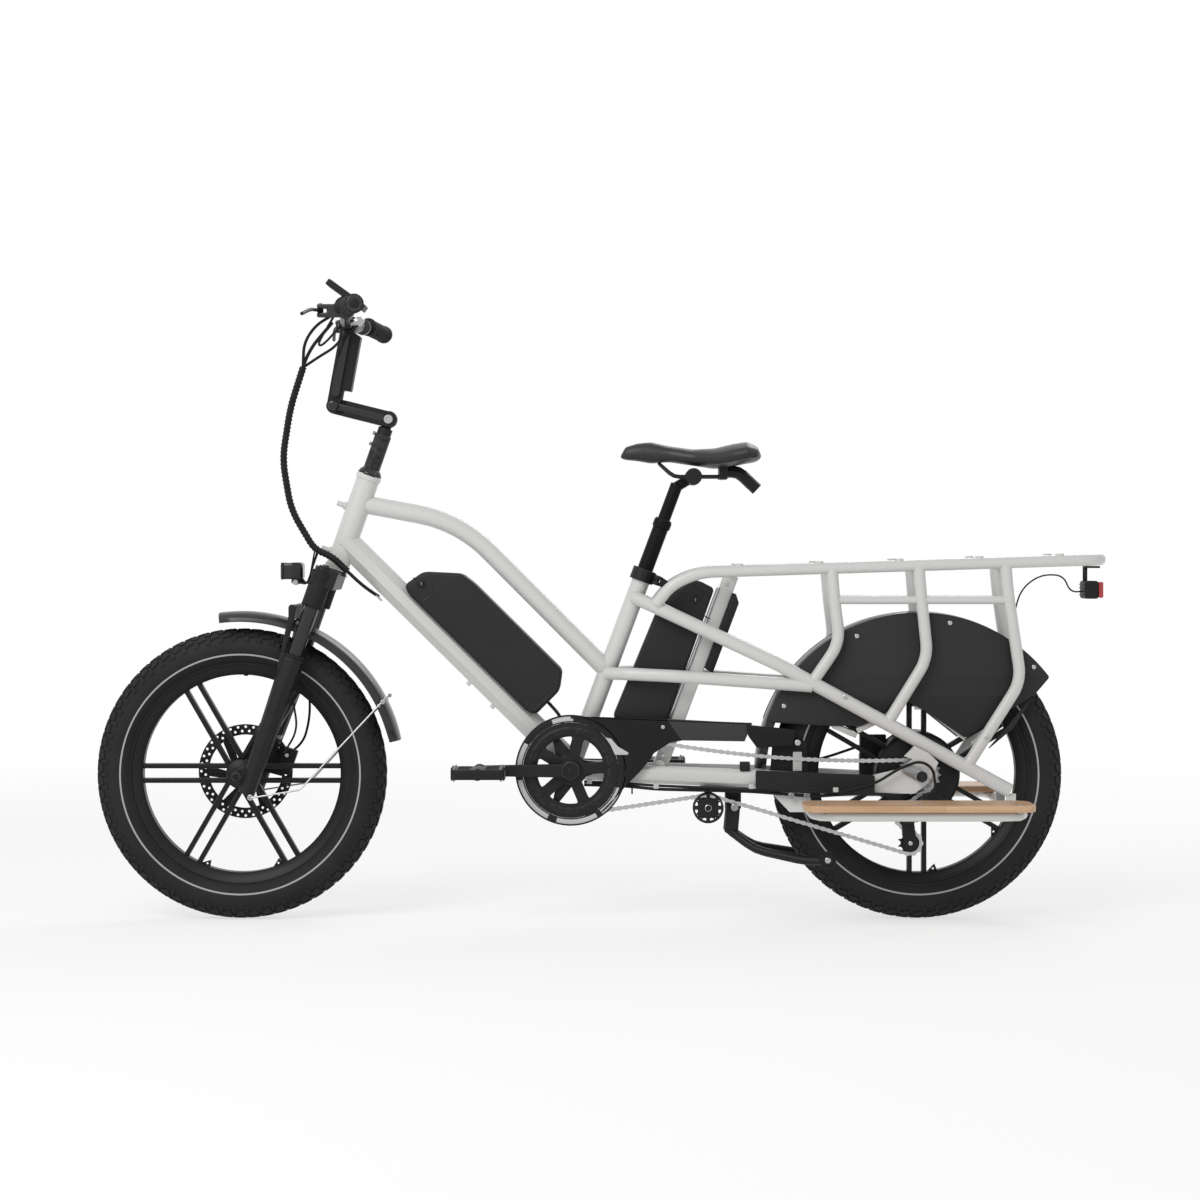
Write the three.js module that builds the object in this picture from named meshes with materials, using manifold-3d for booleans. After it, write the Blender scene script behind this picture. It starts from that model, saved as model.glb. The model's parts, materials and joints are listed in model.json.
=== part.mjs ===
// Longtail cargo bike: an electric bike with a long rear rack, side footboards and two batteries.
// Millimetres, +Z up, front of the bike towards -X, chain side towards -Y.
// The origin lies on the ground, below the middle of the overall length.
import * as THREE from "three";
import { mergeVertices } from "three/addons/utils/BufferGeometryUtils.js";
import Module from "manifold-3d";

const wasm = await Module();
wasm.setup();

// Clearances
const gap = 0.3; // between pieces that touch
const runningGap = 0.6; // round a turning or sliding piece
const overrun = 5; // how far a cutter runs past what it cuts

// Wheels
const tyreRadius = 276;
const tyreWidth = 76;
const tyreWall = 5;
const treadWidth = 40;
const rimDepth = 18;
const rimWidth = 44;
const wheelSteps = 36;
const spokePairs = 6;
const spokePairSpacing = 27.6;
const spokeWidth = 9;
const spokeDepth = 20;

// Wheelbase and bottom bracket
const frontCentre = 623; // front axle to bottom bracket, along the ground
const rearCentre = 655; // bottom bracket to rear axle, along the ground
const bracketHeight = 285;
const bracketRadius = 22;
const bracketWidth = 72;

// Steering axis
const headAngle = 19.3;
const headTubeReach = 178; // front axle to the head tube's lower end, along the ground
const headTubeHeight = 661;
const headTubeLength = 189;
const headTubeRadius = 22;
const headTubeBore = 18;
const pegRadius = 5;
const pegLength = 18;
const pegLower = 30;
const pegUpper = 120;

// Fork
const legOffset = 14;
const legSpacing = 140;
const steererRadius = 14;
const quillRadius = 9;
const quillLength = 60;
const stanchionRadius = 14;
const stanchionLength = 262;
const crownHeight = 36;
const crownDepthRear = 14;
const crownDepthFront = 34;
const crownDepthTop = 27;
const crownClearance = 1.5; // below the head tube
const crownWall = 2.4; // beside the stanchions
const socketRadius = 19;
const socketLength = 36;
const legTopRadius = 23;
const legFootRadius = 16;
const legTop = 181; // head tube's lower end down to the top of the sliding legs
const legBottom = 450;
const archThickness = 12;
const archHeight = 28;
const archWidth = 15;
const frontDropoutWidth = 100;
const frontDropoutThickness = 7;
const axleRadius = 8;
const axleNutRadius = 13;
const axleNutLength = 8;
const forkTravel = 45;

// Front hub, brake disc and caliper
const hubRadius = 27;
const hubNeckRadius = 15;
const hubNeckLength = 14;
const frontDiscRadius = 90;
const discBandWidth = 20;
const discThickness = 2;
const frontDiscPlace = 44;
const discArms = 6;
const caliperWidth = 20;
const caliperLength = 50;
const caliperDepth = 30;
const caliperSlot = 6;
const caliperReachShare = 1.12; // rear caliper's place by the disc's radius
const caliperPlaceAngle = 150; // rear caliper, from straight behind the axle over the top

// Fenders
const fenderRadius = 308;
const fenderWidth = 88;
const fenderSide = 22;
const fenderWall = 2.4;
const fenderEdge = 8;
const frontFenderStart = 12;
const frontFenderEnd = 98;
const rearSpokeTurn = 30; // degrees, the rear wheel's spokes against the front's
const stayTipTurn = 14; // degrees from the band's start to the stay's tip
const rearFenderStart = 37;
const rearFenderEnd = 178;
const stayRadius = 2.6;

// Stem, handlebar and what it carries
const stemPostRadius = 14;
const stemPostLength = 81;
const headsetHeight = 14;
const pivotRadius = 17;
const pivotPinRadius = 6;
const recessRadius = 23.5; // room in the level arm for the upright arm's cheeks
const slotRadius = 18.8; // room in the level arm for the post's tongue
const tongueShare = 0.65; // tongue depth by post diameter
const armLength = 107;
const armAngle = 14;
const armWidth = 30;
const armHeight = 30;
const cheekWidth = 8;
const upperArmLength = 155;
const upperArmAngle = 10.3;
const upperArmDepth = 26;
const upperWebDepth = 15;
const upperWebStart = 32;
const upperArmWidth = 34;
const barRadius = 11;
const barClampRadius = 18;
const barClampWidth = 46;
const gripRadius = 16;
const barBottomBend = 112;
const barRise = 13;
const barSweep = 9;
const barTurnPlace = 168; // middle plane to where the bar turns back to the grips
const gripPlace = 215; // middle plane to the grip's inner end
const gripBack = 18;
const gripRise = 16;
const gripSpread = 115;
const gripSweep = 23;
const gripDrop = 6;
const leverBack = 11;
const leverRise = 12;
const leverReach = 47;
const leverLength = 118;
const leverTipAhead = 21; // pin to the blade's tip, forward
const leverTipDrop = 16;
const leverBladeWidth = 12;
const leverBladeThickness = 7;
const leverBodyLength = 34;
const displayLength = 86;
const displayWidth = 62;
const displayThickness = 8;
const displayTilt = 36;
const displayDrumRadius = 17;
const displayDrumWidth = 52;
const displayHeight = 36;
const displayAhead = 8;
const displayFrontShare = 0.6; // of the screen, ahead of the drum
const headlightWidth = 52;
const headlightHeight = 33;
const headlightDepth = 42;
const headlightBracketWidth = 24;
const headlightBracketHeight = 8;
const headlightAlong = -30; // steering axis down to the lamp's middle
const headlightAhead = 77;

// Main tubes
const downTubeHeight = 48;
const downTubeWidth = 46;
const downTubeEdge = 15;
const downTubeDrop = 7; // its axis passes this far above the bottom bracket
const downTubeAngle = 44.7;
const downTubeLength = 556;
const downTubeLap = 48; // how far it reaches into the head tube
const topTubeRadius = 17.5;
const topTubeStart = 133; // along the head tube
const topTubeKneeReach = 234; // head tube's lower end to the tube's knee, along the ground
const topTubeKneeHeight = 751;
const topTubeBend = 80;
const topTubeJoin = 197; // bottom bracket up along the seat tube
const seatAngle = 20.5;
const seatTubeRadius = 17;
const seatTubeBore = 15.5;
const seatTubeLength = 396;

// Stays and rack
const stayTubeRadius = 13;
const lowerStayRadius = 12;
const rackSpacing = 134;
const upperStayJoin = 345; // bottom bracket up along the seat tube
const lowerStayJoin = 192;
const staySpreadLength = 45;
const lowerStaySpread = 1.4; // tube radii that the lower stays spread short of the rack's sides
const staySpreadFall = 20;
const lowerSpreadLength = 45;
const levelFall = 12;
const lowerStayMeet = 60;
const levelKneeDrop = 39;
const stayKneeReach = 392; // bottom bracket to where the two stays meet, along the ground
const stayKneeHeight = 482;
const stayFootReach = 822;
const stayFootHeight = 247;
const railRadius = 11;
const railHeight = 656;
const railRise = 24;
const railFrontDrop = 60;
const railFrontRun = 28;
const batteryRailReach = 300;
const bundleFoot = [[-504, -46, 686], [-474, -47, 657], [-446, -33, 629.5], [-419, -10, 609.77]]; // x, y, z
const railFrontReach = 160;
const railFlatReach = 240;
const rackOverhang = 354; // rear axle to the rack's tail
const tailBend = 46;
const crossBarRadius = 8;
const padRadius = 8;
const padHeight = 3;
const padSpacing = 150;
const uprightRadius = 11;
const uprightSpacing = 162.5;
const uprightReach = 489;
const uprightLean = 5;
// Each upright's knee and foot: run to the rear and drop below its top
const uprightSizes = [[15, 139, -36, 213], [17, 173, -59, 296], [29, 221, -73, 382]];
const rungRadius = 7.5;
const rungDrop = 60;

// Chainstays and rear dropouts
const chainstayWidth = 26;
const chainstayHeight = 33;
const chainstayEdge = 7;
const rearDropoutWidth = 144;
const rearDropoutThickness = 7;
const hangerRadius = rearDropoutThickness * 0.45;
const rearAxleRadius = 7;
const chainstayMiddle = 36; // middle plane to the tube's axis, behind the bottom bracket
const chainstayRear = 71;
const chainstayFall = 27;
const dropoutRise = 44;
const dropoutLength = 100;
const dropoutDepth = 32;

// Footboards
const boardLength = 418;
const boardWidth = 118;
const boardThickness = 12;
const boardInset = 152; // middle plane to the board's inner edge
const boardReach = 424; // bottom bracket to the board's front, along the ground
const boardHeight = 225;
const boardCorner = 34;
const loopRadius = 8.5;
const loopInset = 18; // board edge to the loop tube's axis
const loopBend = 42;
const loopPlateThickness = 6;
const loopPlateRun = 65;

// Rear wheel, motor, brake and sprockets
const motorRadius = 80;
const motorWidth = 70;
const motorShift = 5; // motor's middle plane towards the brake disc
const motorBossRadius = 24;
const rearDiscRadius = 80;
const rearDiscPlace = 50;
const cassetteRadius = 42;
const cassetteSmallRadius = 25;
const cassetteWidth = 18;
const sprocketCount = 5;

// Chain drive
const chainPlane = 52;
const chainWidth = 8;
const chainHeight = 9;
const chainSag = 24;
const ringPitchRadius = 85;
const sprocketPitchRadius = 30;
const idlerPitchRadius = 23.5;
const idlerFlangeRadius = 29;
const idlerReach = 258;
const idlerHeight = 214;
const jockeyPitchRadius = 21;
const upperJockeyAhead = 24; // rear axle forwards to the upper jockey wheel
const upperJockeyDrop = 79;
const lowerJockeyDrop = 127;
const lowerJockeyAhead = 18;
const cageThickness = 2.4;
const cageHalfWidth = 12;
const knuckleDrop = cageHalfWidth * 1.6; // hanger down to the knuckle
const linkRadius = cageHalfWidth * 0.8;
const chainStep = 0.3; // angle of one facet where the chain turns
const pulleyFlange = 1.5;
const hangerBack = 6;

// Cranks and pedals
const crankLength = 170;
const crankWidth = 26;
const crankThickness = 13;
const crankTaper = 0.75; // of its height, at the pedal's end
const crankBossShare = 1.3; // of half its height
const spindleRadius = 11;
const leftCrankPlace = 66;
const rightCrankPlace = 60;
const ringGuardRadius = 88;
const ringGuardInnerRadius = 66;
const spiderArms = 5;
const spiderArmWidth = 22;
const armRootShare = 1.4; // of the spindle's radius
const ringHubShare = 1.2; // of the bottom bracket's radius
const pedalLength = 100;
const pedalWidth = 92;
const pedalThickness = 26;
const pedalAxleRadius = 6;
const pedalBodyRail = 14;
const pedalBarrelShare = 0.8; // of half the pedal's height

// Chain guard
const guardPlace = 59;
const guardWall = 3;
const guardRadius = 104;
const guardHeight = 34;
const guardHeelReach = 1.9; // guard radii behind the bar's front end
const guardWaistReach = 1.15;
const guardWaistDrop = 3.4; // bar heights
const guardToeReach = 0.64;
const guardToeDrop = 0.76;
const guardLength = 340;
const guardFall = 13;
const guardLip = 14;
const guardBracketReach = 75;
const guardBracketDrop = 14;
const guardBracketRise = 93;

// Batteries
const frontBatteryWidth = 76;
const frontBatteryStart = 94;
const frontBatteryLength = 348;
const frontBatteryHeight = 92;
const batteryLap = 10; // how far its sides reach down beside the tube
const rearBatteryWidth = 60;
const rearBatteryDepth = 99;
const rearBatteryBase = 118;
const rearBatteryLength = 300;
const rearBatterySetback = 40;
const batteryRailDepth = 31;
const batteryRailWidth = 40;
const batteryRailBase = 58;
const batteryRailTop = 450;
const controllerDepth = 17;
const controllerWidth = 72;
const controllerLength = 156;
const controllerBase = 262;
const railFootRadius = 9;

// Seat
const clampHeight = 24;
const clampLapShare = 0.75; // of its height, over the seat tube
const clampRadius = 23;
const clampEarLength = 20;
const clampEarWidth = 20;
const leverArmLength = 20;
const postNeckShare = 0.85; // of the inner post's radius
const leverArmThickness = 6;
const leverEyeHalf = 9;
const leverEyeRadius = 8;
const leverPinPlace = 35;
const outerPostRadius = 15.1;
const outerPostBore = 12.6;
const outerPostBase = 232;
const outerPostTop = 500;
const postCollarRadius = 17.5;
const postCollarHeight = 14;
const innerPostRadius = 12;
const innerPostBase = 360;
const seatHeadAlong = 598;
const seatHeadBehind = 24;
const seatHeadRadius = 15;
const seatHeadWidth = 22;
const saddleLength = 264;
const saddleWidth = 212;
const saddleHeight = 52;
const saddleRear = 126; // seat clamp to the saddle's tail
const saddleDrop = 14; // seat clamp up to the saddle's lowest edge
const saddleRailRadius = 3.5;
const saddleRailSpacing = 44;
const jawRadius = 16;
const jawWidth = 16;
const railBlockStart = 48;
const railBendReach = 37;
const railNoseReach = 65;
const railNoseRise = 25;
const bumperRadius = 12;
const bumperRise = 10;
const bumperKnee = 85;
const bumperReach = 121;
const bumperDrop = 24;

// Wheel skirts
const skirtRadius = 306;
const skirtPlace = 51;
const skirtWall = 2.4;
const skirtStart = 37;
const skirtEnd = 161;
const skirtStubRadius = 4;
// The skirt's lower edge from back to front, and where its stubs stand, as shares
const skirtShares = [
  [0.701, 0.492], [0.573, 0.29], [0.419, 0.161], [0.278, 0.229], [0.045, 0.388], [-0.084, 0.456],
  [-0.348, 0.303], [-0.538, 0.303],
];
const skirtStubShares = [0.053, 0.337, 0.62, 0.932];

// Kickstand
const standPivotReach = 307;
const standPivotHeight = 216;
const standLegRadius = 8.5;
const standFootRadius = 15;
const standFootWidth = 20;
const standFootSpacing = 170;
const standFootReach = 174;
const standFootDrop = 98;
const standBlockWidth = 52;
const standPlateThickness = 6;
const standPinRadius = 6;
const standHeelDrop = 50;
const standElbowReach = 40;
const standElbowDrop = 82;

// Tail light and cables
const tailLightWidth = 64;
const tailLightHeight = 36;
const tailLightDepth = 30;
const tailLightBack = 34; // rack's tail forwards to the lamp's rod
const tailBracketWidth = 20;
const tailBracketThickness = 6;
const tailBracketDrop = 28;
const bundleRadius = 7;

// Facets
const roundSteps = 8;
const fineSteps = 16;
const ringSteps = 24;
const wireSteps = 6;
const bendSteps = 2;
const weldDistance = 1e-4;
const flatShare = Math.cos(Math.PI / roundSteps); // a round bar's flat over its radius

// Reference points, worked out from the driving sizes
const degrees = Math.PI / 180;
const halfLengthShare = 0.5;
const axleHeight = tyreRadius * Math.cos(Math.PI / wheelSteps);
const overallLength = tyreRadius + frontCentre + rearCentre + rackOverhang;
const frontAxleX = tyreRadius - overallLength * halfLengthShare;
const bracketX = frontAxleX + frontCentre;
const rearAxleX = bracketX + rearCentre;
const tailX = rearAxleX + rackOverhang;

const point = (x, y, z) => new THREE.Vector3(x, y, z);
const corner2 = (place) => [place.x, place.z];
const frontAxle = point(frontAxleX, 0, axleHeight);
const rearAxle = point(rearAxleX, 0, axleHeight);
const bracket = point(bracketX, 0, bracketHeight);
const headBase = point(frontAxleX + headTubeReach, 0, headTubeHeight);

// A tilted working frame in the middle plane: s runs along it, f across it to the front, y sideways.
function frameAt(origin, alongX, alongZ) {
  return (s, f = 0, y = 0) => point(origin.x + alongX * s - alongZ * f, y,
    origin.z + alongZ * s + alongX * f);
}
const steerAngle = headAngle * degrees;
const steer = frameAt(headBase, Math.sin(steerAngle), Math.cos(steerAngle));
const seat = frameAt(bracket, Math.sin(seatAngle * degrees), Math.cos(seatAngle * degrees));
const downAngle = downTubeAngle * degrees;
const downEnd = point(bracketX, 0, bracketHeight + downTubeDrop);
const downStart = point(
  downEnd.x - downTubeLength * Math.cos(downAngle), 0, downEnd.z + downTubeLength * Math.sin(downAngle));
const down = (s, f, y) => point(
  downStart.x + s * Math.cos(downAngle) + f * Math.sin(downAngle),
  y,
  downStart.z - s * Math.sin(downAngle) + f * Math.cos(downAngle));

// Solids
function solid(geometry) {
  const bare = geometry.clone();
  bare.deleteAttribute("normal");
  bare.deleteAttribute("uv");
  const merged = mergeVertices(bare, weldDistance);
  const corners = Array.from(merged.index.array);
  const build = (triVerts) => new wasm.Manifold(new wasm.Mesh({
    numProp: 3,
    vertProperties: new Float32Array(merged.attributes.position.array),
    triVerts: new Uint32Array(triVerts),
  }));
  const piece = build(corners);
  return piece.volume() < 0 ? build(corners.reverse()) : piece;
}

function geometryOf(piece) {
  const mesh = piece.getMesh();
  const geometry = new THREE.BufferGeometry();
  geometry.setAttribute("position", new THREE.BufferAttribute(new Float32Array(mesh.vertProperties), 3));
  geometry.setIndex(new THREE.BufferAttribute(new Uint32Array(mesh.triVerts), 1));
  geometry.computeVertexNormals();
  return geometry;
}

const join = (...pieces) => pieces.reduce((all, piece) => all.add(piece));
const cut = (piece, ...cutters) => cutters.reduce((rest, cutter) => rest.subtract(cutter), piece);

// A plate drawn in the XZ plane as [x, z] pairs, from y0 to y1, with round or drawn holes.
function plate(outline, y0, y1, holes = []) {
  const shape = Array.isArray(outline) ? new THREE.Shape(
    outline.map(([x, z]) => new THREE.Vector2(x, z))) : outline;
  holes.forEach((hole) => shape.holes.push(hole));
  const geometry = new THREE.ExtrudeGeometry(shape,
    { depth: y1 - y0, bevelEnabled: false, curveSegments: fineSteps });
  geometry.rotateX(Math.PI / 2);
  geometry.translate(0, y1, 0);
  return solid(geometry);
}

// A turned piece about a sideways axis; the profile holds [radius, y] pairs and closes on itself.
function turned(profile, centre, steps = fineSteps) {
  const closed = [...profile, profile[0]].map(([radius, y]) => new THREE.Vector2(radius, y));
  const geometry = new THREE.LatheGeometry(closed, steps, Math.PI / steps);
  return solid(geometry).translate([centre.x, 0, centre.z]);
}

const ringProfile = (inner, outer, y0, y1) => [[inner, y0], [outer, y0], [outer, y1], [inner, y1]];
const disc = (centre, radius, y0, y1, steps = fineSteps) =>
  rod(point(centre.x, y0, centre.z), point(centre.x, y1, centre.z), radius, steps);
const ring = (centre, inner, outer, y0, y1, steps) =>
  turned(ringProfile(inner, outer, y0, y1), centre, steps);

// A straight round bar between two points, which may taper.
function rod(from, to, radius, steps = roundSteps, endRadius = radius) {
  const along = new THREE.Vector3().subVectors(to, from);
  const geometry = new THREE.CylinderGeometry(endRadius, radius, along.length(), steps, 1, false,
    Math.PI / steps);
  geometry.translate(0, along.length() / 2, 0);
  geometry.applyQuaternion(new THREE.Quaternion().setFromUnitVectors(point(0, 1, 0), along.normalize()));
  geometry.translate(from.x, from.y, from.z);
  return solid(geometry);
}

// A straight beam between two points with a drawn section: [side, up] pairs.
function beam(from, to, section) {
  const shape = new THREE.Shape(section.map(([side, up]) => new THREE.Vector2(side, up)));
  const along = new THREE.Vector3().subVectors(to, from);
  const geometry = new THREE.ExtrudeGeometry(shape, { depth: along.length(), bevelEnabled: false });
  const forward = along.clone().normalize();
  const side = new THREE.Vector3().crossVectors(point(0, 0, 1), forward).normalize();
  const up = new THREE.Vector3().crossVectors(forward, side);
  geometry.applyMatrix4(new THREE.Matrix4().makeBasis(side, up, forward));
  geometry.translate(from.x, from.y, from.z);
  return solid(geometry);
}

// A rectangle with cut corners, centred on nothing
function chamfered(width, height, edge) {
  const w = width / 2;
  const h = height / 2;
  return [
    [w - edge, -h], [w, edge - h], [w, h - edge], [w - edge, h],
    [edge - w, h], [-w, h - edge], [-w, edge - h], [edge - w, -h],
  ];
}

// A path that rounds its inner corners: each corner becomes a short curve of bendSteps pieces.
class BentPath extends THREE.Curve {
  constructor(corners, bend) {
    super();
    this.stations = [corners[0]];
    for (let i = 1; i < corners.length - 1; i += 1) {
      const before = corners[i].clone().sub(corners[i - 1]);
      const after = corners[i + 1].clone().sub(corners[i]);
      const reach = Math.min(bend, before.length() * halfLengthShare, after.length() * halfLengthShare);
      const start = corners[i].clone().addScaledVector(before.normalize(), -reach);
      const end = corners[i].clone().addScaledVector(after.normalize(), reach);
      const corner = new THREE.QuadraticBezierCurve3(start, corners[i], end);
      this.stations.push(...corner.getPoints(bendSteps));
    }
    this.stations.push(corners[corners.length - 1]);
    this.stations = this.stations.filter(
      (station, i, all) => i === 0 || station.distanceTo(all[i - 1]) > gap);
  }

  get steps() {
    return this.stations.length - 1;
  }

  getPoint(share, target = new THREE.Vector3()) {
    const place = Math.min(share * this.steps, this.steps - 1e-9);
    const index = Math.floor(place);
    return target.lerpVectors(this.stations[index], this.stations[index + 1], place - index);
  }

  getPointAt(share, target) {
    return this.getPoint(share, target);
  }

  getTangentAt(share, target = new THREE.Vector3()) {
    const step = halfLengthShare / this.steps;
    const ahead = this.getPoint(Math.min(share + step, 1));
    const behind = this.getPoint(Math.max(share - step, 0));
    return target.subVectors(ahead, behind).normalize();
  }
}

// A round tube bent along corners
function pipe(corners, radius, bend, steps = roundSteps) {
  const path = new BentPath(corners, bend);
  const circle = new THREE.Shape().absarc(0, 0, radius, 0, Math.PI * 2);
  const outline = new THREE.Shape(circle.getSpacedPoints(steps).slice(0, steps));
  return solid(new THREE.ExtrudeGeometry(outline,
    { steps: path.steps, extrudePath: path, bevelEnabled: false }));
}

function box(x0, x1, y0, y1, z0, z1) {
  const geometry = new THREE.BoxGeometry(x1 - x0, y1 - y0, z1 - z0);
  geometry.translate((x0 + x1) / 2, (y0 + y1) / 2, (z0 + z1) / 2);
  return solid(geometry);
}

const mirrored = (piece) => piece.mirror([0, 1, 0]);
const around = (centre, radius, angle) =>
  [centre.x + radius * Math.cos(angle * degrees), centre.z + radius * Math.sin(angle * degrees)];

function arcPoints(centre, radius, start, end, count) {
  return Array.from({ length: count + 1 }, (_, i) =>
    around(centre, radius, start + ((end - start) * i) / count));
}

// Scene
const bike = new THREE.Group();
const frameWhite = { color: "#d9d9d6", roughness: 0.35, metalness: 0.1 };
const black = { color: "#1d1d1f", roughness: 0.5, metalness: 0.2 };
const darkGrey = { color: "#333436", roughness: 0.6, metalness: 0.0 };
const rubber = { color: "#19191a", roughness: 0.85, metalness: 0.0 };
const steel = { color: "#8f9194", roughness: 0.3, metalness: 0.9 };
const bamboo = { color: "#d8b987", roughness: 0.55, metalness: 0.0 };

function add(name, piece, look) {
  const mesh = new THREE.Mesh(geometryOf(piece), new THREE.MeshStandardMaterial(look));
  mesh.name = name;
  bike.add(mesh);
}

function addPair(name, piece, look) {
  add(`${name}_left`, piece, look);
  add(`${name}_right`, mirrored(piece), look);
}

// Tyre: a round casing with a flat tread, open towards the rim
function tyre(axle) {
  const casing = tyreWidth / 2;
  const centre = tyreRadius - casing;
  const outerAngles = [150, 95];
  const innerAngles = [130, 0, -130];
  const on = (radius, angle) => [centre + radius * Math.cos(angle * degrees),
    radius * Math.sin(angle * degrees)];
  const side = outerAngles.map((angle) => on(casing, angle));
  const profile = [
    ...side,
    [tyreRadius, treadWidth / 2],
    [tyreRadius, -treadWidth / 2],
    ...side.map(([radius, y]) => [radius, -y]).reverse(),
    ...innerAngles.map((angle) => on(casing - tyreWall, angle)).reverse(),
  ];
  return turned(profile, axle, wheelSteps);
}

// Rim radius follows from where the tyre's casing ends
const beadAngle = 150;
const rimRadius = tyreRadius - (tyreWidth / 2) * (1 - Math.cos(beadAngle * degrees)) - gap;

// Rim with six pairs of spokes, turned by a phase
function spokedRim(axle, innerRadius, phase) {
  const rimInner = rimRadius - rimDepth;
  const rim = ring(axle, rimInner, rimRadius, -rimWidth / 2, rimWidth / 2, wheelSteps);
  const outer = rimInner + rimDepth / 2;
  const bars = [];
  for (let i = 0; i < spokePairs; i += 1) {
    for (const sideways of [-spokePairSpacing / 2, spokePairSpacing / 2]) {
      const bar = box(
        innerRadius, outer, -spokeDepth / 2, spokeDepth / 2,
        sideways - spokeWidth / 2, sideways + spokeWidth / 2);
      bars.push(bar.rotate([0, phase + (360 / spokePairs) * i, 0]).translate([axle.x, 0, axle.z]));
    }
  }
  return join(rim, ...bars);
}

const frontHubHalf = frontDropoutWidth / 2 - gap;
function frontWheel() {
  const bore = axleRadius + runningGap;
  const neck = frontHubHalf - hubNeckLength;
  const hub = turned([
    [bore, -frontHubHalf], [hubNeckRadius, -frontHubHalf], [hubNeckRadius, -neck], [hubRadius, -neck],
    [hubRadius, neck - hubNeckLength / 2], [hubNeckRadius, neck - hubNeckLength / 2],
    [hubNeckRadius, frontHubHalf], [bore, frontHubHalf],
  ], frontAxle);
  const opening = disc(frontAxle, bore, -frontHubHalf - overrun, frontHubHalf + overrun);
  return cut(join(spokedRim(frontAxle, hubRadius / 2, 0), hub), opening);
}

// Room for a brake disc to turn in
const discSpace = (axle, radius, place) => disc(
  axle, radius + runningGap, place - runningGap, place + discThickness + runningGap, ringSteps);

// Brake disc: a braking band on a few arms
function brakeDisc(axle, radius, boreRadius, place) {
  const y1 = place + discThickness;
  const bandInner = radius - discBandWidth;
  const band = ring(axle, bandInner, radius, place, y1, ringSteps);
  const carrier = ring(axle, boreRadius, boreRadius + discBandWidth / 2, place, y1);
  const arms = Array.from({ length: discArms }, (_, i) => {
    const arm = box(
      boreRadius + discBandWidth / 4, bandInner + discBandWidth / 4, place, y1, -spokeWidth / 2,
        spokeWidth / 2);
    return arm.rotate([0, (360 / discArms) * i, 0]).translate([axle.x, 0, axle.z]);
  });
  return join(band, carrier, ...arms);
}

// Rear wheel: spoked rim on the motor's round shell
const motorLeft = motorShift - motorWidth / 2;
const motorRight = motorShift + motorWidth / 2;
const rearInner = rearDropoutWidth / 2 - gap;
function rearWheel() {
  const bore = rearAxleRadius + runningGap;
  const chamfer = motorBossRadius / 2;
  const cassetteSide = chainPlane - cassetteWidth / 2 - gap;
  const shell = turned([
    [bore, -cassetteSide], [motorBossRadius, -cassetteSide], [motorBossRadius, motorLeft],
    [motorRadius - chamfer, motorLeft], [motorRadius, motorLeft + chamfer],
    [motorRadius, motorRight - chamfer], [motorRadius - chamfer, motorRight],
    [motorBossRadius, motorRight], [motorBossRadius, rearInner], [bore, rearInner],
  ], rearAxle);
  const opening = disc(rearAxle, bore, -cassetteSide - overrun, rearInner + overrun);
  const spokes = spokedRim(rearAxle, motorRadius - chamfer * 2, rearSpokeTurn);
  return cut(join(spokes, shell), opening);
}

function rearAxleBar() {
  const end = rearDropoutWidth / 2 + rearDropoutThickness + gap;
  const nut = (y0, y1) => disc(rearAxle, axleNutRadius, y0, y1, 6);
  return join(
    disc(rearAxle, rearAxleRadius, -end, end, roundSteps),
    nut(-end - axleNutLength, -end),
    nut(end, end + axleNutLength),
  );
}

add("front_tyre", tyre(frontAxle), rubber);
add("front_wheel", frontWheel(), black);
add("front_rotor", brakeDisc(frontAxle, frontDiscRadius, hubNeckRadius + gap, frontDiscPlace), steel);
add("rear_tyre", tyre(rearAxle), rubber);
add("rear_wheel", rearWheel(), black);
add("rear_rotor", brakeDisc(rearAxle, rearDiscRadius, motorBossRadius + gap, rearDiscPlace), steel);
add("rear_axle", rearAxleBar(), steel);

// Fork: crown, steerer and stanchions in one piece that turns in the head tube
const legY = legSpacing / 2;
const crownTop = -crownClearance;
const crownBottom = crownTop - crownHeight;
const crownSection = (extra) => [
  corner2(steer(crownBottom - extra, crownDepthFront + extra)),
  corner2(steer(crownTop + extra, crownDepthTop + extra)),
  corner2(steer(crownTop + extra, -crownDepthRear - extra)),
  corner2(steer(crownBottom - extra, -crownDepthRear - extra)),
];
function forkCrown() {
  const halfWidth = legY + stanchionRadius + crownWall;
  const crown = plate(crownSection(0), -halfWidth, halfWidth);
  const steererTop = headTubeLength;
  const steerer = rod(steer(crownBottom / 2), steer(steererTop), steererRadius);
  const quill = rod(steer(crownBottom / 2), steer(steererTop + quillLength), quillRadius);
  const legs = [-legY, legY].flatMap((y) => [
    rod(steer(crownTop, legOffset, y), steer(crownBottom - socketLength, legOffset, y), socketRadius),
    rod(steer(crownBottom, legOffset, y), steer(crownTop - stanchionLength, legOffset, y), stanchionRadius),
  ]);
  return join(crown, steerer, quill, ...legs);
}

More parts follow.
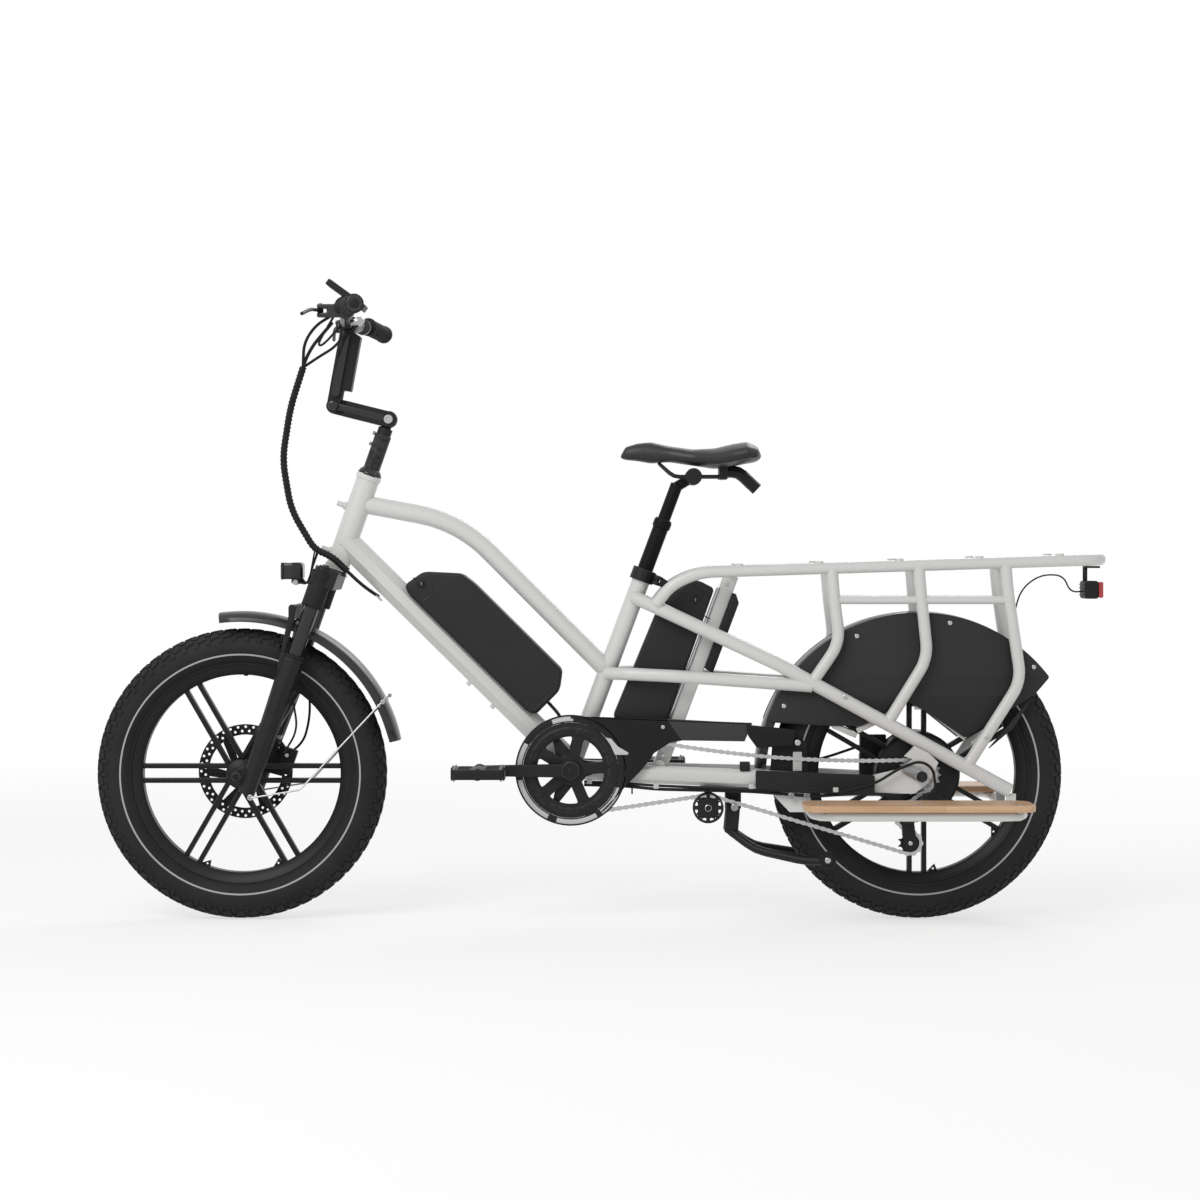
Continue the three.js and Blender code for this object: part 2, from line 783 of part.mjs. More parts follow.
// Sliding legs with the arch, dropouts, axle and brake caliper
const axleAlong = -Math.cos(steerAngle) * (headTubeHeight - axleHeight) - Math.sin(
  steerAngle) * headTubeReach;
const axleAhead = Math.cos(steerAngle) * headTubeReach - Math.sin(steerAngle) * (headTubeHeight - axleHeight);
const archBottom = axleAlong + fenderRadius + gap * 2;
const archAhead = legOffset + legTopRadius;
function forkLowers() {
  const inner = frontDropoutWidth / 2 + gap;
  const outer = inner + frontDropoutThickness;
  const leg = (y) => {
    const tube = rod(steer(-legBottom, legOffset, y), steer(-legTop, legOffset, y), legFootRadius,
      roundSteps, legTopRadius);
    const reach = (s, f) => [steer(s, f).x, steer(s, f).z];
    const [y0, y1] = y < 0 ? [-outer, -inner] : [inner, outer];
    const dropout = plate([
      reach(axleAlong - axleNutRadius, axleAhead + axleNutRadius / 2),
      reach(axleAlong, axleAhead + axleNutRadius),
      reach(axleAlong + axleNutRadius, axleAhead + axleNutRadius / 2),
      reach(axleAlong + axleNutRadius * 3, legOffset),
      reach(axleAlong - axleNutRadius * 2, legOffset),
    ], Math.min(y0, y), Math.max(y1, y));
    const post = plate([
      reach(-legTop - archHeight, legOffset + legTopRadius / 2),
      reach(-legTop - archHeight, archAhead),
      reach(archBottom + archHeight, archAhead + archWidth),
      reach(archBottom + archHeight, archAhead + archWidth - archThickness),
      reach(-legTop, archAhead - archThickness / 2),
      reach(-legTop, legOffset + legTopRadius / 2),
    ], y - archThickness / 2, y + archThickness / 2);
    return join(tube, dropout, post);
  };
  const arch = beam(
    steer(archBottom + archHeight / 2, archAhead + archWidth - archThickness / 2, -legY - archThickness / 2),
    steer(archBottom + archHeight / 2, archAhead + archWidth - archThickness / 2, legY + archThickness / 2),
    chamfered(archThickness, archHeight, archThickness / 4));
  const axle = rod(
    point(frontAxle.x, -outer - axleNutLength, frontAxle.z),
    point(frontAxle.x, outer + axleNutLength, frontAxle.z),
    axleRadius);
  const nuts = [-outer - axleNutLength, outer].map(
    (y) => disc(frontAxle, axleNutRadius, y, y + axleNutLength, 6));
  const holes = [-legY, legY].map((y) =>
    rod(steer(-legTop + overrun, legOffset, y), steer(crownTop - stanchionLength - forkTravel, legOffset, y),
      stanchionRadius + gap));
  const hubSpace = disc(frontAxle, legFootRadius + overrun, -inner, inner);
  return join(cut(join(leg(-legY), leg(legY), arch), ...holes, hubSpace), frontCaliper(), axle, ...nuts);
}

function frontCaliper() {
  const middle = frontDiscPlace + discThickness / 2;
  const at = (s, f) => corner2(steer(s, f));
  const low = axleAlong + frontDiscRadius * halfLengthShare;
  const back = legOffset - legFootRadius - caliperDepth / 3;
  const body = plate([
    at(low - caliperLength / 2, back - caliperDepth), at(low - caliperLength / 2, back),
    at(low + caliperLength / 2, back), at(low + caliperLength / 2, back - caliperDepth),
  ], middle - caliperWidth / 2, middle + caliperWidth / 2);
  const lug = plate([
    at(low - caliperLength / 3, back - overrun), at(low - caliperLength / 3, legOffset),
    at(low + caliperLength / 3, legOffset), at(low + caliperLength / 3, back - overrun),
  ], middle + caliperSlot, legY - legFootRadius / 3);
  return cut(join(body, lug), discSpace(frontAxle, frontDiscRadius, frontDiscPlace));
}

add("fork_crown", forkCrown(), black);
add("fork_lowers", forkLowers(), black);

// Fender: a thin channel over the tyre, kept between two angles
function fenderBand(axle, start, end) {
  const half = fenderWidth / 2;
  const low = fenderRadius - fenderSide;
  const inner = fenderRadius - fenderWall;
  const profile = [
    [low, half], [fenderRadius - fenderEdge, half], [fenderRadius, half - fenderEdge],
    [fenderRadius, fenderEdge - half], [fenderRadius - fenderEdge, -half], [low, -half],
    [low, fenderWall - half], [inner - fenderEdge, fenderWall - half],
    [inner, fenderWall + fenderEdge - half],
    [inner, half - fenderWall - fenderEdge], [inner - fenderEdge, half - fenderWall],
    [low, half - fenderWall],
  ];
  const band = turned(profile, axle, wheelSteps);
  const far = fenderRadius * 2;
  const sector = plate([
    [axle.x, axle.z], around(axle, far, start), around(axle, far, (start + end) / 2), around(axle, far, end),
  ], -fenderWidth, fenderWidth);
  return band.intersect(sector);
}

function frontFender() {
  const side = fenderWidth / 2 + stayRadius - gap;
  const stay = (sign) => {
    const footSide = legOffset - (legFootRadius + stayRadius) * flatShare - gap * 2;
    const foot = steer(-legBottom + legFootRadius, footSide, sign * legY);
    const [tipX, tipZ] = around(frontAxle, fenderRadius - fenderSide / 2, frontFenderStart + stayTipTurn);
    const knee = point(foot.x + (tipX - foot.x) / 3, sign * (side + stayRadius * 2), foot.z);
    return pipe([foot, knee, point(tipX, sign * side, tipZ)], stayRadius, legFootRadius, 8);
  };
  return join(fenderBand(frontAxle, frontFenderStart, frontFenderEnd), stay(-1), stay(1));
}
add("front_fender", frontFender(), black);
add("rear_fender", fenderBand(rearAxle, rearFenderStart, rearFenderEnd), black);

// Stem: a post on the steerer, a level arm and an upright arm, with a hinge pin at both joints
const postBase = headTubeLength + gap;
const lowerPivotAlong = postBase + headsetHeight + stemPostLength + pivotRadius;
const lowerPivot = steer(lowerPivotAlong);
const armRise = armAngle * degrees;
const upperPivot = point(
  lowerPivot.x - armLength * Math.cos(armRise), 0, lowerPivot.z + armLength * Math.sin(armRise));
const upperTilt = upperArmAngle * degrees;
const upper = frameAt(upperPivot, Math.sin(upperTilt), Math.cos(upperTilt));
const barCentre = upper(upperArmLength);
const armHalf = armWidth / 2;
const tongueHalf = armHalf - cheekWidth - gap;

const tongueStart = lowerPivotAlong - pivotRadius - runningGap;
function stemPost() {
  const cone = rod(steer(postBase), steer(postBase + headsetHeight), headTubeRadius, fineSteps,
    stemPostRadius);
  const post = rod(steer(postBase + headsetHeight), steer(tongueStart), stemPostRadius, fineSteps);
  const side = stemPostRadius * tongueShare;
  const tongue = plate([
    corner2(steer(tongueStart - stemPostRadius, -side)), corner2(steer(tongueStart - stemPostRadius, side)),
    corner2(steer(lowerPivotAlong, side)), corner2(steer(lowerPivotAlong, -side)),
  ], -tongueHalf, tongueHalf);
  const eye = disc(lowerPivot, pivotRadius - runningGap, -tongueHalf, tongueHalf);
  const pinHole = disc(lowerPivot, pivotPinRadius + runningGap, -armWidth, armWidth);
  const bore = rod(steer(postBase - overrun), steer(headTubeLength + quillLength + gap),
    quillRadius + gap, fineSteps);
  return cut(join(cone, post, tongue, eye), pinHole, bore);
}

// Level arm: cheeks round the post's tongue at one end, a tongue for the upright arm at the other
function stemArm() {
  const level = frameAt(lowerPivot, -Math.cos(armRise), Math.sin(armRise));
  const half = armHeight / 2;
  const bar = plate([
    corner2(level(0, -half)), corner2(level(0, half)), corner2(level(armLength, half)),
    corner2(level(armLength, -half)),
  ], -armHalf, armHalf);
  const ends = [disc(lowerPivot, half, -armHalf, armHalf), disc(upperPivot, half, -armHalf, armHalf)];
  const slot = disc(lowerPivot, slotRadius, -tongueHalf - gap, tongueHalf + gap);
  const sides = [
    disc(upperPivot, recessRadius, tongueHalf, armWidth),
    disc(upperPivot, recessRadius, -armWidth, -tongueHalf),
  ];
  const pinHole = disc(upperPivot, pivotPinRadius + runningGap, -armWidth, armWidth);
  const pin = disc(lowerPivot, pivotPinRadius, -armHalf, armHalf, roundSteps);
  return join(cut(join(bar, ...ends), slot, ...sides, pinHole), pin);
}

// Upright arm: two cheeks on a pin, a web behind them and the handlebar clamp on top
function stemUpper() {
  const half = upperArmDepth / 2;
  const outer = tongueHalf + gap + cheekWidth;
  const cheeks = [[-outer, -tongueHalf - gap], [tongueHalf + gap, outer]].map(([y0, y1]) => join(
    plate([
      corner2(upper(0, -half)), corner2(upper(0, half)),
      corner2(upper(upperArmLength, half)), corner2(upper(upperArmLength, -half)),
    ], y0, y1),
    disc(upperPivot, half, y0, y1)));
  const web = plate([
    corner2(upper(upperWebStart, half)), corner2(upper(upperWebStart, -half - upperWebDepth)),
    corner2(upper(upperArmLength - barClampRadius, -half - upperWebDepth)),
    corner2(upper(upperArmLength, half)),
  ], -upperArmWidth / 2 + gap, upperArmWidth / 2 - gap);
  const pin = disc(upperPivot, pivotPinRadius, -outer, outer, roundSteps);
  const clamp = disc(barCentre, barClampRadius, -barClampWidth / 2, barClampWidth / 2);
  const bore = disc(barCentre, barRadius + runningGap, -barClampWidth, barClampWidth);
  return cut(join(...cheeks, web, pin, clamp), bore);
}

// Handlebar: one bent tube with thicker grips and the two lever mounts
const barPoint = (back, y, up) => point(barCentre.x + back, y, barCentre.z + up);
const gripStart = (sign) => barPoint(gripBack, sign * gripPlace, gripRise);
const gripEnd = (sign) => barPoint(gripBack + gripSweep, sign * (gripPlace + gripSpread),
  gripRise - gripDrop);
const leverMount = (sign) => barPoint(leverBack, sign * barTurnPlace, leverRise);
const leverPivot = (sign) => leverMount(sign).add(point(-leverReach, 0, 0));

function handlebar() {
  const side = (sign) => [barPoint(barSweep, sign * barTurnPlace, barRise), gripStart(sign), gripEnd(sign)];
  const corners = [
    ...side(-1).reverse(), barPoint(0, -barBottomBend / 2, 0), barPoint(0, barBottomBend / 2, 0), ...side(1),
  ];
  const tube = pipe(corners, barRadius, barBottomBend / 4);
  const grips = [-1, 1].map((sign) => rod(gripStart(sign),
    gripEnd(sign).add(point(0, sign * gap, 0)), gripRadius));
  const mounts = [-1, 1].flatMap((sign) => leverBody(sign));
  return join(tube, ...grips, ...mounts);
}

function leverBody(sign) {
  const centre = leverMount(sign);
  const pivot = leverPivot(sign);
  const half = leverBodyLength / 4;
  const collar = disc(centre, barRadius + stayRadius * 2, centre.y - half, centre.y + half);
  const shell = box(
    pivot.x - leverBladeWidth / 2, centre.x, centre.y - half, centre.y + half,
    centre.z - leverBladeWidth, centre.z + leverBladeWidth);
  const room = box(
    pivot.x - leverBladeWidth, pivot.x + leverBladeWidth, centre.y - half - overrun,
      centre.y + half + overrun,
    centre.z - leverBladeThickness / 2 - gap, centre.z + leverBladeThickness / 2 + gap);
  const pin = rod(
    point(pivot.x, pivot.y, pivot.z - leverBladeWidth / 2),
    point(pivot.x, pivot.y, pivot.z + leverBladeWidth / 2),
    stayRadius, 8);
  return [join(cut(join(collar, shell), room), pin)];
}

// Brake lever blade: an eye on a pin and a curved finger blade running outwards
function leverBlade(sign) {
  const pivot = leverPivot(sign);
  const half = leverBladeThickness / 2;
  const eye = rod(
    point(pivot.x, pivot.y, pivot.z - half), point(pivot.x, pivot.y, pivot.z + half), leverBladeWidth / 2);
  const blade = pipe([
    pivot,
    point(pivot.x - leverBladeWidth, pivot.y + (sign * leverLength) / 3, pivot.z),
    point(pivot.x - leverTipAhead, pivot.y + sign * leverLength, pivot.z - leverTipDrop),
  ], half, leverLength / 5, 8);
  const hole = rod(
    point(pivot.x, pivot.y, pivot.z - leverBladeWidth), point(pivot.x, pivot.y, pivot.z + leverBladeWidth),
    stayRadius + runningGap, 8);
  return cut(join(eye, blade), hole);
}

// Display: a tilted screen on a round drum, held by two brackets clamped to the bar
function display() {
  const centre = point(barCentre.x - displayAhead, 0, barCentre.z + displayHeight);
  const tilt = frameAt(centre, Math.cos(displayTilt * degrees), -Math.sin(displayTilt * degrees));
  const drum = disc(centre, displayDrumRadius, -displayDrumWidth / 2, displayDrumWidth / 2);
  const low = displayDrumRadius - displayThickness / 2;
  const screen = plate([
    corner2(tilt(-displayLength * displayFrontShare, low)),
    corner2(tilt(displayLength * (1 - displayFrontShare), low)),
    corner2(tilt(displayLength * (1 - displayFrontShare), low + displayThickness + displayThickness / 2)),
    corner2(tilt(-displayLength * displayFrontShare, low + displayThickness + displayThickness / 2)),
  ], -displayWidth / 2, displayWidth / 2);
  const inner = barClampWidth / 2 + runningGap;
  const outer = inner + cheekWidth / 2;
  const bracket = (y0, y1) => join(
    disc(barCentre, barRadius + cheekWidth / 2, y0, y1),
    plate([
      [barCentre.x - cheekWidth, barCentre.z], [barCentre.x + cheekWidth, barCentre.z],
      [centre.x + cheekWidth, centre.z], [centre.x - cheekWidth, centre.z],
    ], y0, y1));
  const barHole = disc(barCentre, barRadius + gap, -displayWidth, displayWidth);
  return cut(join(drum, screen, bracket(-outer, -inner), bracket(inner, outer)), barHole);
}

// Headlight on a bracket in front of the fork crown
function headlight() {
  const lamp = steer(headlightAlong, headlightAhead);
  const half = headlightDepth / 2;
  const low = lamp.z - headlightHeight / 2;
  const body = box(
    lamp.x - half, lamp.x + half, -headlightWidth / 2, headlightWidth / 2, low, low + headlightHeight);
  const arm = plate([
    corner2(steer(crownBottom + headlightBracketHeight, crownDepthTop)),
    corner2(steer(crownBottom, crownDepthTop)),
    [lamp.x + half, low - headlightBracketHeight], [lamp.x - half / 2, low - headlightBracketHeight],
    [lamp.x - half / 2, low + overrun], [lamp.x + half, low + overrun],
  ], -headlightBracketWidth / 2, headlightBracketWidth / 2);
  return cut(join(arm, body), plate(crownSection(gap), -legSpacing, legSpacing));
}

add("stem_post", stemPost(), black);
add("stem_arm", stemArm(), black);
add("stem_upper", stemUpper(), black);
add("handlebar", handlebar(), black);
add("brake_lever_left", leverBlade(-1), black);
add("brake_lever_right", leverBlade(1), black);
add("display", display(), black);
add("headlight", headlight(), black);

// Main frame tubes
const seatTop = seatTubeLength;
const clampSpace = (radius) => rod(seat(0), seat(seatTop), radius, fineSteps);
const shellSpace = (radius) => disc(bracket, radius, -bracketWidth / 2 - gap, bracketWidth / 2 + gap);

function headTube() {
  const tube = rod(steer(0), steer(headTubeLength), headTubeRadius, fineSteps);
  const pegs = [pegLower, pegUpper].map((s) =>
    rod(steer(s, headTubeBore + gap), steer(s, headTubeRadius + pegLength), pegRadius));
  const bore = rod(steer(-overrun), steer(headTubeLength + overrun), headTubeBore, fineSteps);
  return join(cut(tube, bore), ...pegs);
}
const headSpace = rod(steer(-headTubeLength), steer(headTubeLength * 2), headTubeRadius + gap, fineSteps);

function seatTube() {
  const tube = clampSpace(seatTubeRadius);
  const shell = disc(bracket, bracketRadius, -bracketWidth / 2, bracketWidth / 2);
  const bore = rod(seat(bracketRadius), seat(seatTop + overrun), seatTubeBore, fineSteps);
  const spindle = disc(bracket, spindleRadius + runningGap, -bracketWidth, bracketWidth);
  return cut(join(tube, shell), bore, spindle);
}

function downTube() {
  const section = chamfered(downTubeWidth, downTubeHeight, downTubeEdge);
  const tube = beam(down(-downTubeLap, 0, 0), down(downTubeLength, 0, 0), section);
  return cut(tube, headSpace, clampSpace(seatTubeRadius + gap), shellSpace(bracketRadius + gap));
}

function topTube() {
  const knee = point(headBase.x + topTubeKneeReach, 0, topTubeKneeHeight);
  const tube = pipe([steer(topTubeStart), knee, seat(topTubeJoin)], topTubeRadius, topTubeBend, fineSteps);
  return cut(tube, headSpace, clampSpace(seatTubeRadius + gap), downTubeSpace);
}
const downTubeSpace = beam(
  down(-downTubeLap, 0, 0), down(downTubeLength, 0, 0),
  chamfered(downTubeWidth + gap * 2, downTubeHeight + gap * 2, downTubeEdge));

add("head_tube", headTube(), frameWhite);
add("seat_tube", seatTube(), frameWhite);
add("down_tube", downTube(), frameWhite);
add("top_tube", topTube(), frameWhite);

// Side stays: on each side a long diagonal tube and a level one that meets it
const rackHalf = rackSpacing / 2;
const kneeX = bracketX + stayKneeReach;
const footX = bracketX + stayFootReach;
const stayFoot = point(footX, -rackHalf, stayFootHeight);
const seatOffset = seatTubeRadius + stayTubeRadius / 2;
const stayTop = seat(upperStayJoin);
const stayTurn = point(stayTop.x + staySpreadLength, -rackHalf + stayTubeRadius, stayTop.z - staySpreadFall);
const diagonalCorners = [
  point(stayTop.x, -seatOffset / 2, stayTop.z), stayTurn, point(kneeX, -rackHalf, stayKneeHeight), stayFoot];
const lowerStart = seat(lowerStayJoin);
const levelCorners = [
  point(lowerStart.x, -seatOffset, lowerStart.z),
  point(lowerStart.x + lowerSpreadLength, -rackHalf + stayTubeRadius * lowerStaySpread, lowerStart.z),
  point(lowerStart.x + lowerSpreadLength * 3, -rackHalf + stayTubeRadius / 3, lowerStart.z - levelFall / 3),
  point(kneeX + lowerStayMeet, -rackHalf, stayKneeHeight - levelKneeDrop),
];
const diagonal = (radius) => pipe(diagonalCorners, radius, staySpreadLength / 3);
const level = (radius) => pipe(levelCorners, radius, staySpreadLength / 3);
const stayBody = (extra) => join(diagonal(stayTubeRadius + extra), level(lowerStayRadius + extra));

function sideStay() {
  return cut(stayBody(0), clampSpace(seatTubeRadius + gap));
}
const staySpace = stayBody(gap);
addPair("side_stay", sideStay(), frameWhite);

// Rack: two rails that meet in a loop at the tail, with cross bars and flat pads on top
const railFlatX = bracketX + railFlatReach;
const railZ = (x) => railHeight + (railRise * (x - railFlatX)) / (tailX - railFlatX);
const railStart = point(bracketX + railFrontReach, -rackHalf + stayTubeRadius / 2,
  railHeight - railFrontDrop);
const crossBars = [bracketX + batteryRailReach,
  ...[0, 1, 2].map((i) => bracketX + uprightReach + uprightSpacing * i)];

const crossBar = (x, extra) =>
  rod(point(x, -rackHalf, railZ(x)), point(x, rackHalf, railZ(x)), crossBarRadius + extra);

function railPath() {
  const side = (sign) => [
    point(railStart.x, sign * -railStart.y, railStart.z),
    point(railStart.x + railFrontRun, sign * rackHalf, railHeight - railRise),
    point(railFlatX, sign * rackHalf, railHeight),
    point(tailX - railRadius, sign * rackHalf, railZ(tailX)),
  ];
  return [...side(-1), ...side(1).reverse()];
}

function rackFrame() {
  const rails = pipe(railPath(), railRadius, tailBend);
  const bars = crossBars.map((x) => crossBar(x, 0));
  const pads = [];
  for (let x = railFlatX + padSpacing / 2; x < tailX - tailBend - padRadius; x += padSpacing) {
    for (const y of [-rackHalf, rackHalf]) {
      const z = railZ(x) + railRadius;
      pads.push(rod(point(x, y, z - padHeight), point(x, y, z + padHeight), padRadius, wireSteps));
    }
  }
  return cut(join(rails, ...bars, ...pads), staySpace, mirrored(staySpace));
}
const railSpace = pipe(railPath(), railRadius + gap, tailBend);
add("rack_frame", rackFrame(), frameWhite);

// Rack sides: three uprights that bend forwards into the diagonal stay, with a rung across
function rackSide() {
  const tubes = uprightSizes.map(([kneeRun, kneeDrop, footRun, footDrop], i) => {
    const x = bracketX + uprightReach + uprightSpacing * i;
    const top = railZ(x);
    return pipe([
      point(x, -rackHalf, top),
      point(x + uprightLean, -rackHalf, top - rungDrop),
      point(x + kneeRun, -rackHalf, top - kneeDrop),
      point(x + footRun, -rackHalf, top - footDrop),
    ], uprightRadius, rungDrop / 2);
  });
  const first = bracketX + uprightReach + uprightLean;
  const rung = rod(
    point(first, -rackHalf, railZ(first) - rungDrop),
    point(first + uprightSpacing * 2, -rackHalf, railZ(first) - rungDrop), rungRadius);
  return cut(join(...tubes, rung), railSpace, staySpace, ...crossBars.map((x) => crossBar(x, gap)));
}
addPair("rack_side", rackSide(), frameWhite);

// Chainstays: boxed tubes from the bottom bracket to a plate that holds the rear axle
const dropoutInner = rearDropoutWidth / 2 + gap;
const dropoutOuter = dropoutInner + rearDropoutThickness;
const stayHalf = chainstayWidth / 2;
const chainstayPoints = [
  point(bracketX + bracketRadius / 2, -stayHalf - stayHalf / 2, bracketHeight - gap * 10),
  point(bracketX + idlerReach / 2, -chainstayMiddle, bracketHeight - chainstayFall / 3),
  point(bracketX + idlerReach * 1.4, -chainstayRear + stayHalf / 2, bracketHeight - chainstayFall * 0.6),
  point(rearAxleX - dropoutLength + chainstayEdge, -chainstayRear, bracketHeight - chainstayFall),
];

function chainstayTube(extra) {
  const section = chamfered(chainstayWidth + extra * 2, chainstayHeight + extra * 2, chainstayEdge);
  const parts = chainstayPoints.slice(1).map((to, i) => {
    const from = chainstayPoints[i];
    const back = to.clone().sub(from).normalize().multiplyScalar(chainstayEdge);
    return beam(i === 0 ? from : from.clone().sub(back), to, section);
  });
  return join(...parts);
}

function dropoutPlate(extra) {
  const end = chainstayPoints[chainstayPoints.length - 1];
  const low = rearAxle.z - dropoutDepth - extra;
  return plate([
    [end.x - dropoutLength / 3, low], [rearAxle.x - axleNutRadius, low],
    [rearAxle.x + axleNutRadius, rearAxle.z - axleNutRadius],
    [rearAxle.x + dropoutDepth, rearAxle.z + axleNutRadius * 2],
    [rearAxle.x + axleNutRadius, rearAxle.z + dropoutRise],
    [rearAxle.x - axleNutRadius, rearAxle.z + dropoutRise + axleNutRadius],
    [rearAxle.x - dropoutDepth, rearAxle.z + dropoutRise - axleNutRadius / 2],
    [rearAxle.x - dropoutDepth / 2, rearAxle.z + dropoutDepth],
    [rearAxle.x - dropoutDepth * 1.4, rearAxle.z + axleNutRadius],
    [end.x - dropoutLength / 3, end.z + chainstayHeight / 3],
  ], -dropoutOuter - extra, -dropoutInner + extra);
}

function chainstay() {
  const axleHole = disc(rearAxle, rearAxleRadius + gap, -dropoutOuter - overrun, -dropoutInner + overrun);
  const wheelSpace = box(
    rearAxle.x - cassetteRadius - gap * 2, rearAxle.x + dropoutLength, -dropoutInner, dropoutInner,
    0, rearAxle.z + dropoutLength);
  return cut(
    join(chainstayTube(0), dropoutPlate(0)), axleHole, wheelSpace, staySpace, shellSpace(bracketRadius + gap),
    clampSpace(seatTubeRadius + gap), downTubeSpace);
}
const chainstaySpace = chainstayTube(gap);
addPair("chainstay", chainstay(), frameWhite);

// Battery rail: a box tube behind the rear battery, with a foot between the chainstays
const railFront = rearBatterySetback + rearBatteryDepth + gap;
const railBack = railFront + batteryRailDepth;
function batteryRail() {
  const post = plate([
    corner2(seat(batteryRailBase, -railFront)), corner2(seat(batteryRailBase, -railBack)),
    corner2(seat(batteryRailTop, -railBack)), corner2(seat(batteryRailTop, -railFront)),
  ], -batteryRailWidth / 2, batteryRailWidth / 2);
  const foot = seat(batteryRailBase + railFootRadius, -(railFront + railBack) / 2);
  const footBar = rod(
    point(foot.x, -chainstayMiddle, foot.z), point(foot.x, chainstayMiddle, foot.z), railFootRadius);
  const controller = plate([
    corner2(seat(controllerBase, -railBack + gap)),
    corner2(seat(controllerBase, -railBack - controllerDepth)),
    corner2(seat(controllerBase + controllerLength, -railBack - controllerDepth)),
    corner2(seat(controllerBase + controllerLength, -railBack + gap)),
  ], -controllerWidth / 2, controllerWidth / 2);
  return cut(
    join(post, footBar, controller), crossBar(crossBars[0], gap), chainstaySpace, mirrored(chainstaySpace),
      staySpace, mirrored(staySpace));
}
add("battery_rail", batteryRail(), frameWhite);

// Batteries: the front one lies on the down tube, the rear one stands on its rail
function frontBattery() {
  const f0 = downTubeHeight / 2 - batteryLap;
  const f1 = downTubeHeight / 2 + gap + frontBatteryHeight;
  const end = frontBatteryStart + frontBatteryLength;
  const edge = frontBatteryHeight / 3;
  const outline = [
    [frontBatteryStart + edge / 2, f0], [end - edge / 2, f0], [end, f0 + edge / 4], [end, f1 - edge],
    [end - edge * 0.75, f1], [frontBatteryStart + edge * 3, f1],
    [frontBatteryStart + edge * 2, f1 - edge / 8],
    [frontBatteryStart + edge / 4, f1 - edge * 1.7], [frontBatteryStart, f0 + edge / 4],
  ];
  const block = plate(outline.map(([s, f]) => corner2(down(s, f, 0))), -frontBatteryWidth / 2,
    frontBatteryWidth / 2);
  return cut(block, downTubeSpace);
}

function rearBattery() {
  const near = -rearBatterySetback;
  const far = near - rearBatteryDepth;
  const base = rearBatteryBase;
  const top = base + rearBatteryLength;
  const edge = rearBatteryDepth / 3;
  const outline = [
    [base, near], [top - edge * 2, near - edge / 4], [top - edge / 4, near - edge * 1.3],
    [top, near - edge * 1.8], [top - edge / 8, far + edge / 8], [base, far],
  ];
  return plate(outline.map(([s, f]) => corner2(seat(s, f))), -rearBatteryWidth / 2, rearBatteryWidth / 2);
}
add("battery_front", frontBattery(), darkGrey);
add("battery_rear", rearBattery(), darkGrey);

// Footboards: a bamboo board on a bent tube loop on each side
const boardFront = bracketX + boardReach;
const boardBack = boardFront + boardLength;
const boardOuter = boardInset + boardWidth;
const loopZ = boardHeight - gap - loopRadius;

function footboard() {
  const shape = new THREE.Shape();
  const [x0, x1, y0, y1] = [boardFront, boardBack, -boardOuter, -boardInset];
  shape.moveTo(x0, y1);
  shape.lineTo(x0, y0 + boardCorner);
  shape.absarc(x0 + boardCorner, y0 + boardCorner, boardCorner, Math.PI, Math.PI * 1.5);
  shape.absarc(x1 - boardCorner, y0 + boardCorner, boardCorner, -Math.PI / 2, 0);
  shape.lineTo(x1, y1);
  const geometry = new THREE.ExtrudeGeometry(
    shape, { depth: boardThickness, bevelEnabled: false, curveSegments: bendSteps });
  geometry.translate(0, 0, boardHeight);
  return solid(geometry);
}

function footboardLoop() {
  const frontX = boardFront + loopInset;
  const backX = boardBack - loopInset;
  const outerY = -boardOuter + loopInset;
  const loop = pipe([
    point(frontX, -rackHalf, loopZ), point(frontX, outerY, loopZ),
    point(backX, outerY, loopZ), point(backX, -rackHalf, loopZ),
  ], loopRadius, loopBend);
  const front = plate([
    [frontX - loopPlateRun, loopZ + loopRadius * 3], [frontX - loopPlateRun / 2, loopZ - loopRadius],
    [frontX + loopRadius, loopZ - loopRadius], [frontX + loopRadius, loopZ + loopRadius],
    [frontX + loopRadius / 2, loopZ + loopRadius * 5], [frontX - loopPlateRun, loopZ + loopRadius * 5],
  ], -rackHalf - loopPlateThickness, -rackHalf);
  const footPlate = plate([
    [backX - loopRadius, loopZ], [backX + loopRadius, loopZ],
    [backX + loopRadius, loopZ + loopRadius * 3], [backX - loopRadius, loopZ + loopRadius * 3],
  ], -rackHalf - loopPlateThickness, -rackHalf + loopPlateThickness);
  return cut(join(loop, front, footPlate), staySpace, chainstaySpace);
}
addPair("footboard", footboard(), bamboo);
addPair("footboard_loop", footboardLoop(), frameWhite);

// Wheel skirt: a thin panel beside the rear wheel, on four stubs from the fender
function wheelSkirt() {
  const outer = arcPoints(rearAxle, skirtRadius, skirtEnd, skirtStart, roundSteps);
  const lower = skirtShares.map(([across, up]) => [
    rearAxle.x + across * skirtRadius, rearAxle.z + up * skirtRadius]);
  const panel = plate([...outer, ...lower], -skirtPlace - skirtWall, -skirtPlace);
  const stubs = skirtStubShares.map((share) => {
    const angle = skirtStart + (skirtEnd - skirtStart) * share;
    const [x, z] = around(rearAxle, skirtRadius - fenderSide / 2, angle);
    return rod(point(x, -skirtPlace - skirtWall / 2, z), point(x, -fenderWidth / 2 - gap, z),
      skirtStubRadius, 8);
  });
  return join(panel, ...stubs);
}
addPair("wheel_skirt", wheelSkirt(), darkGrey);

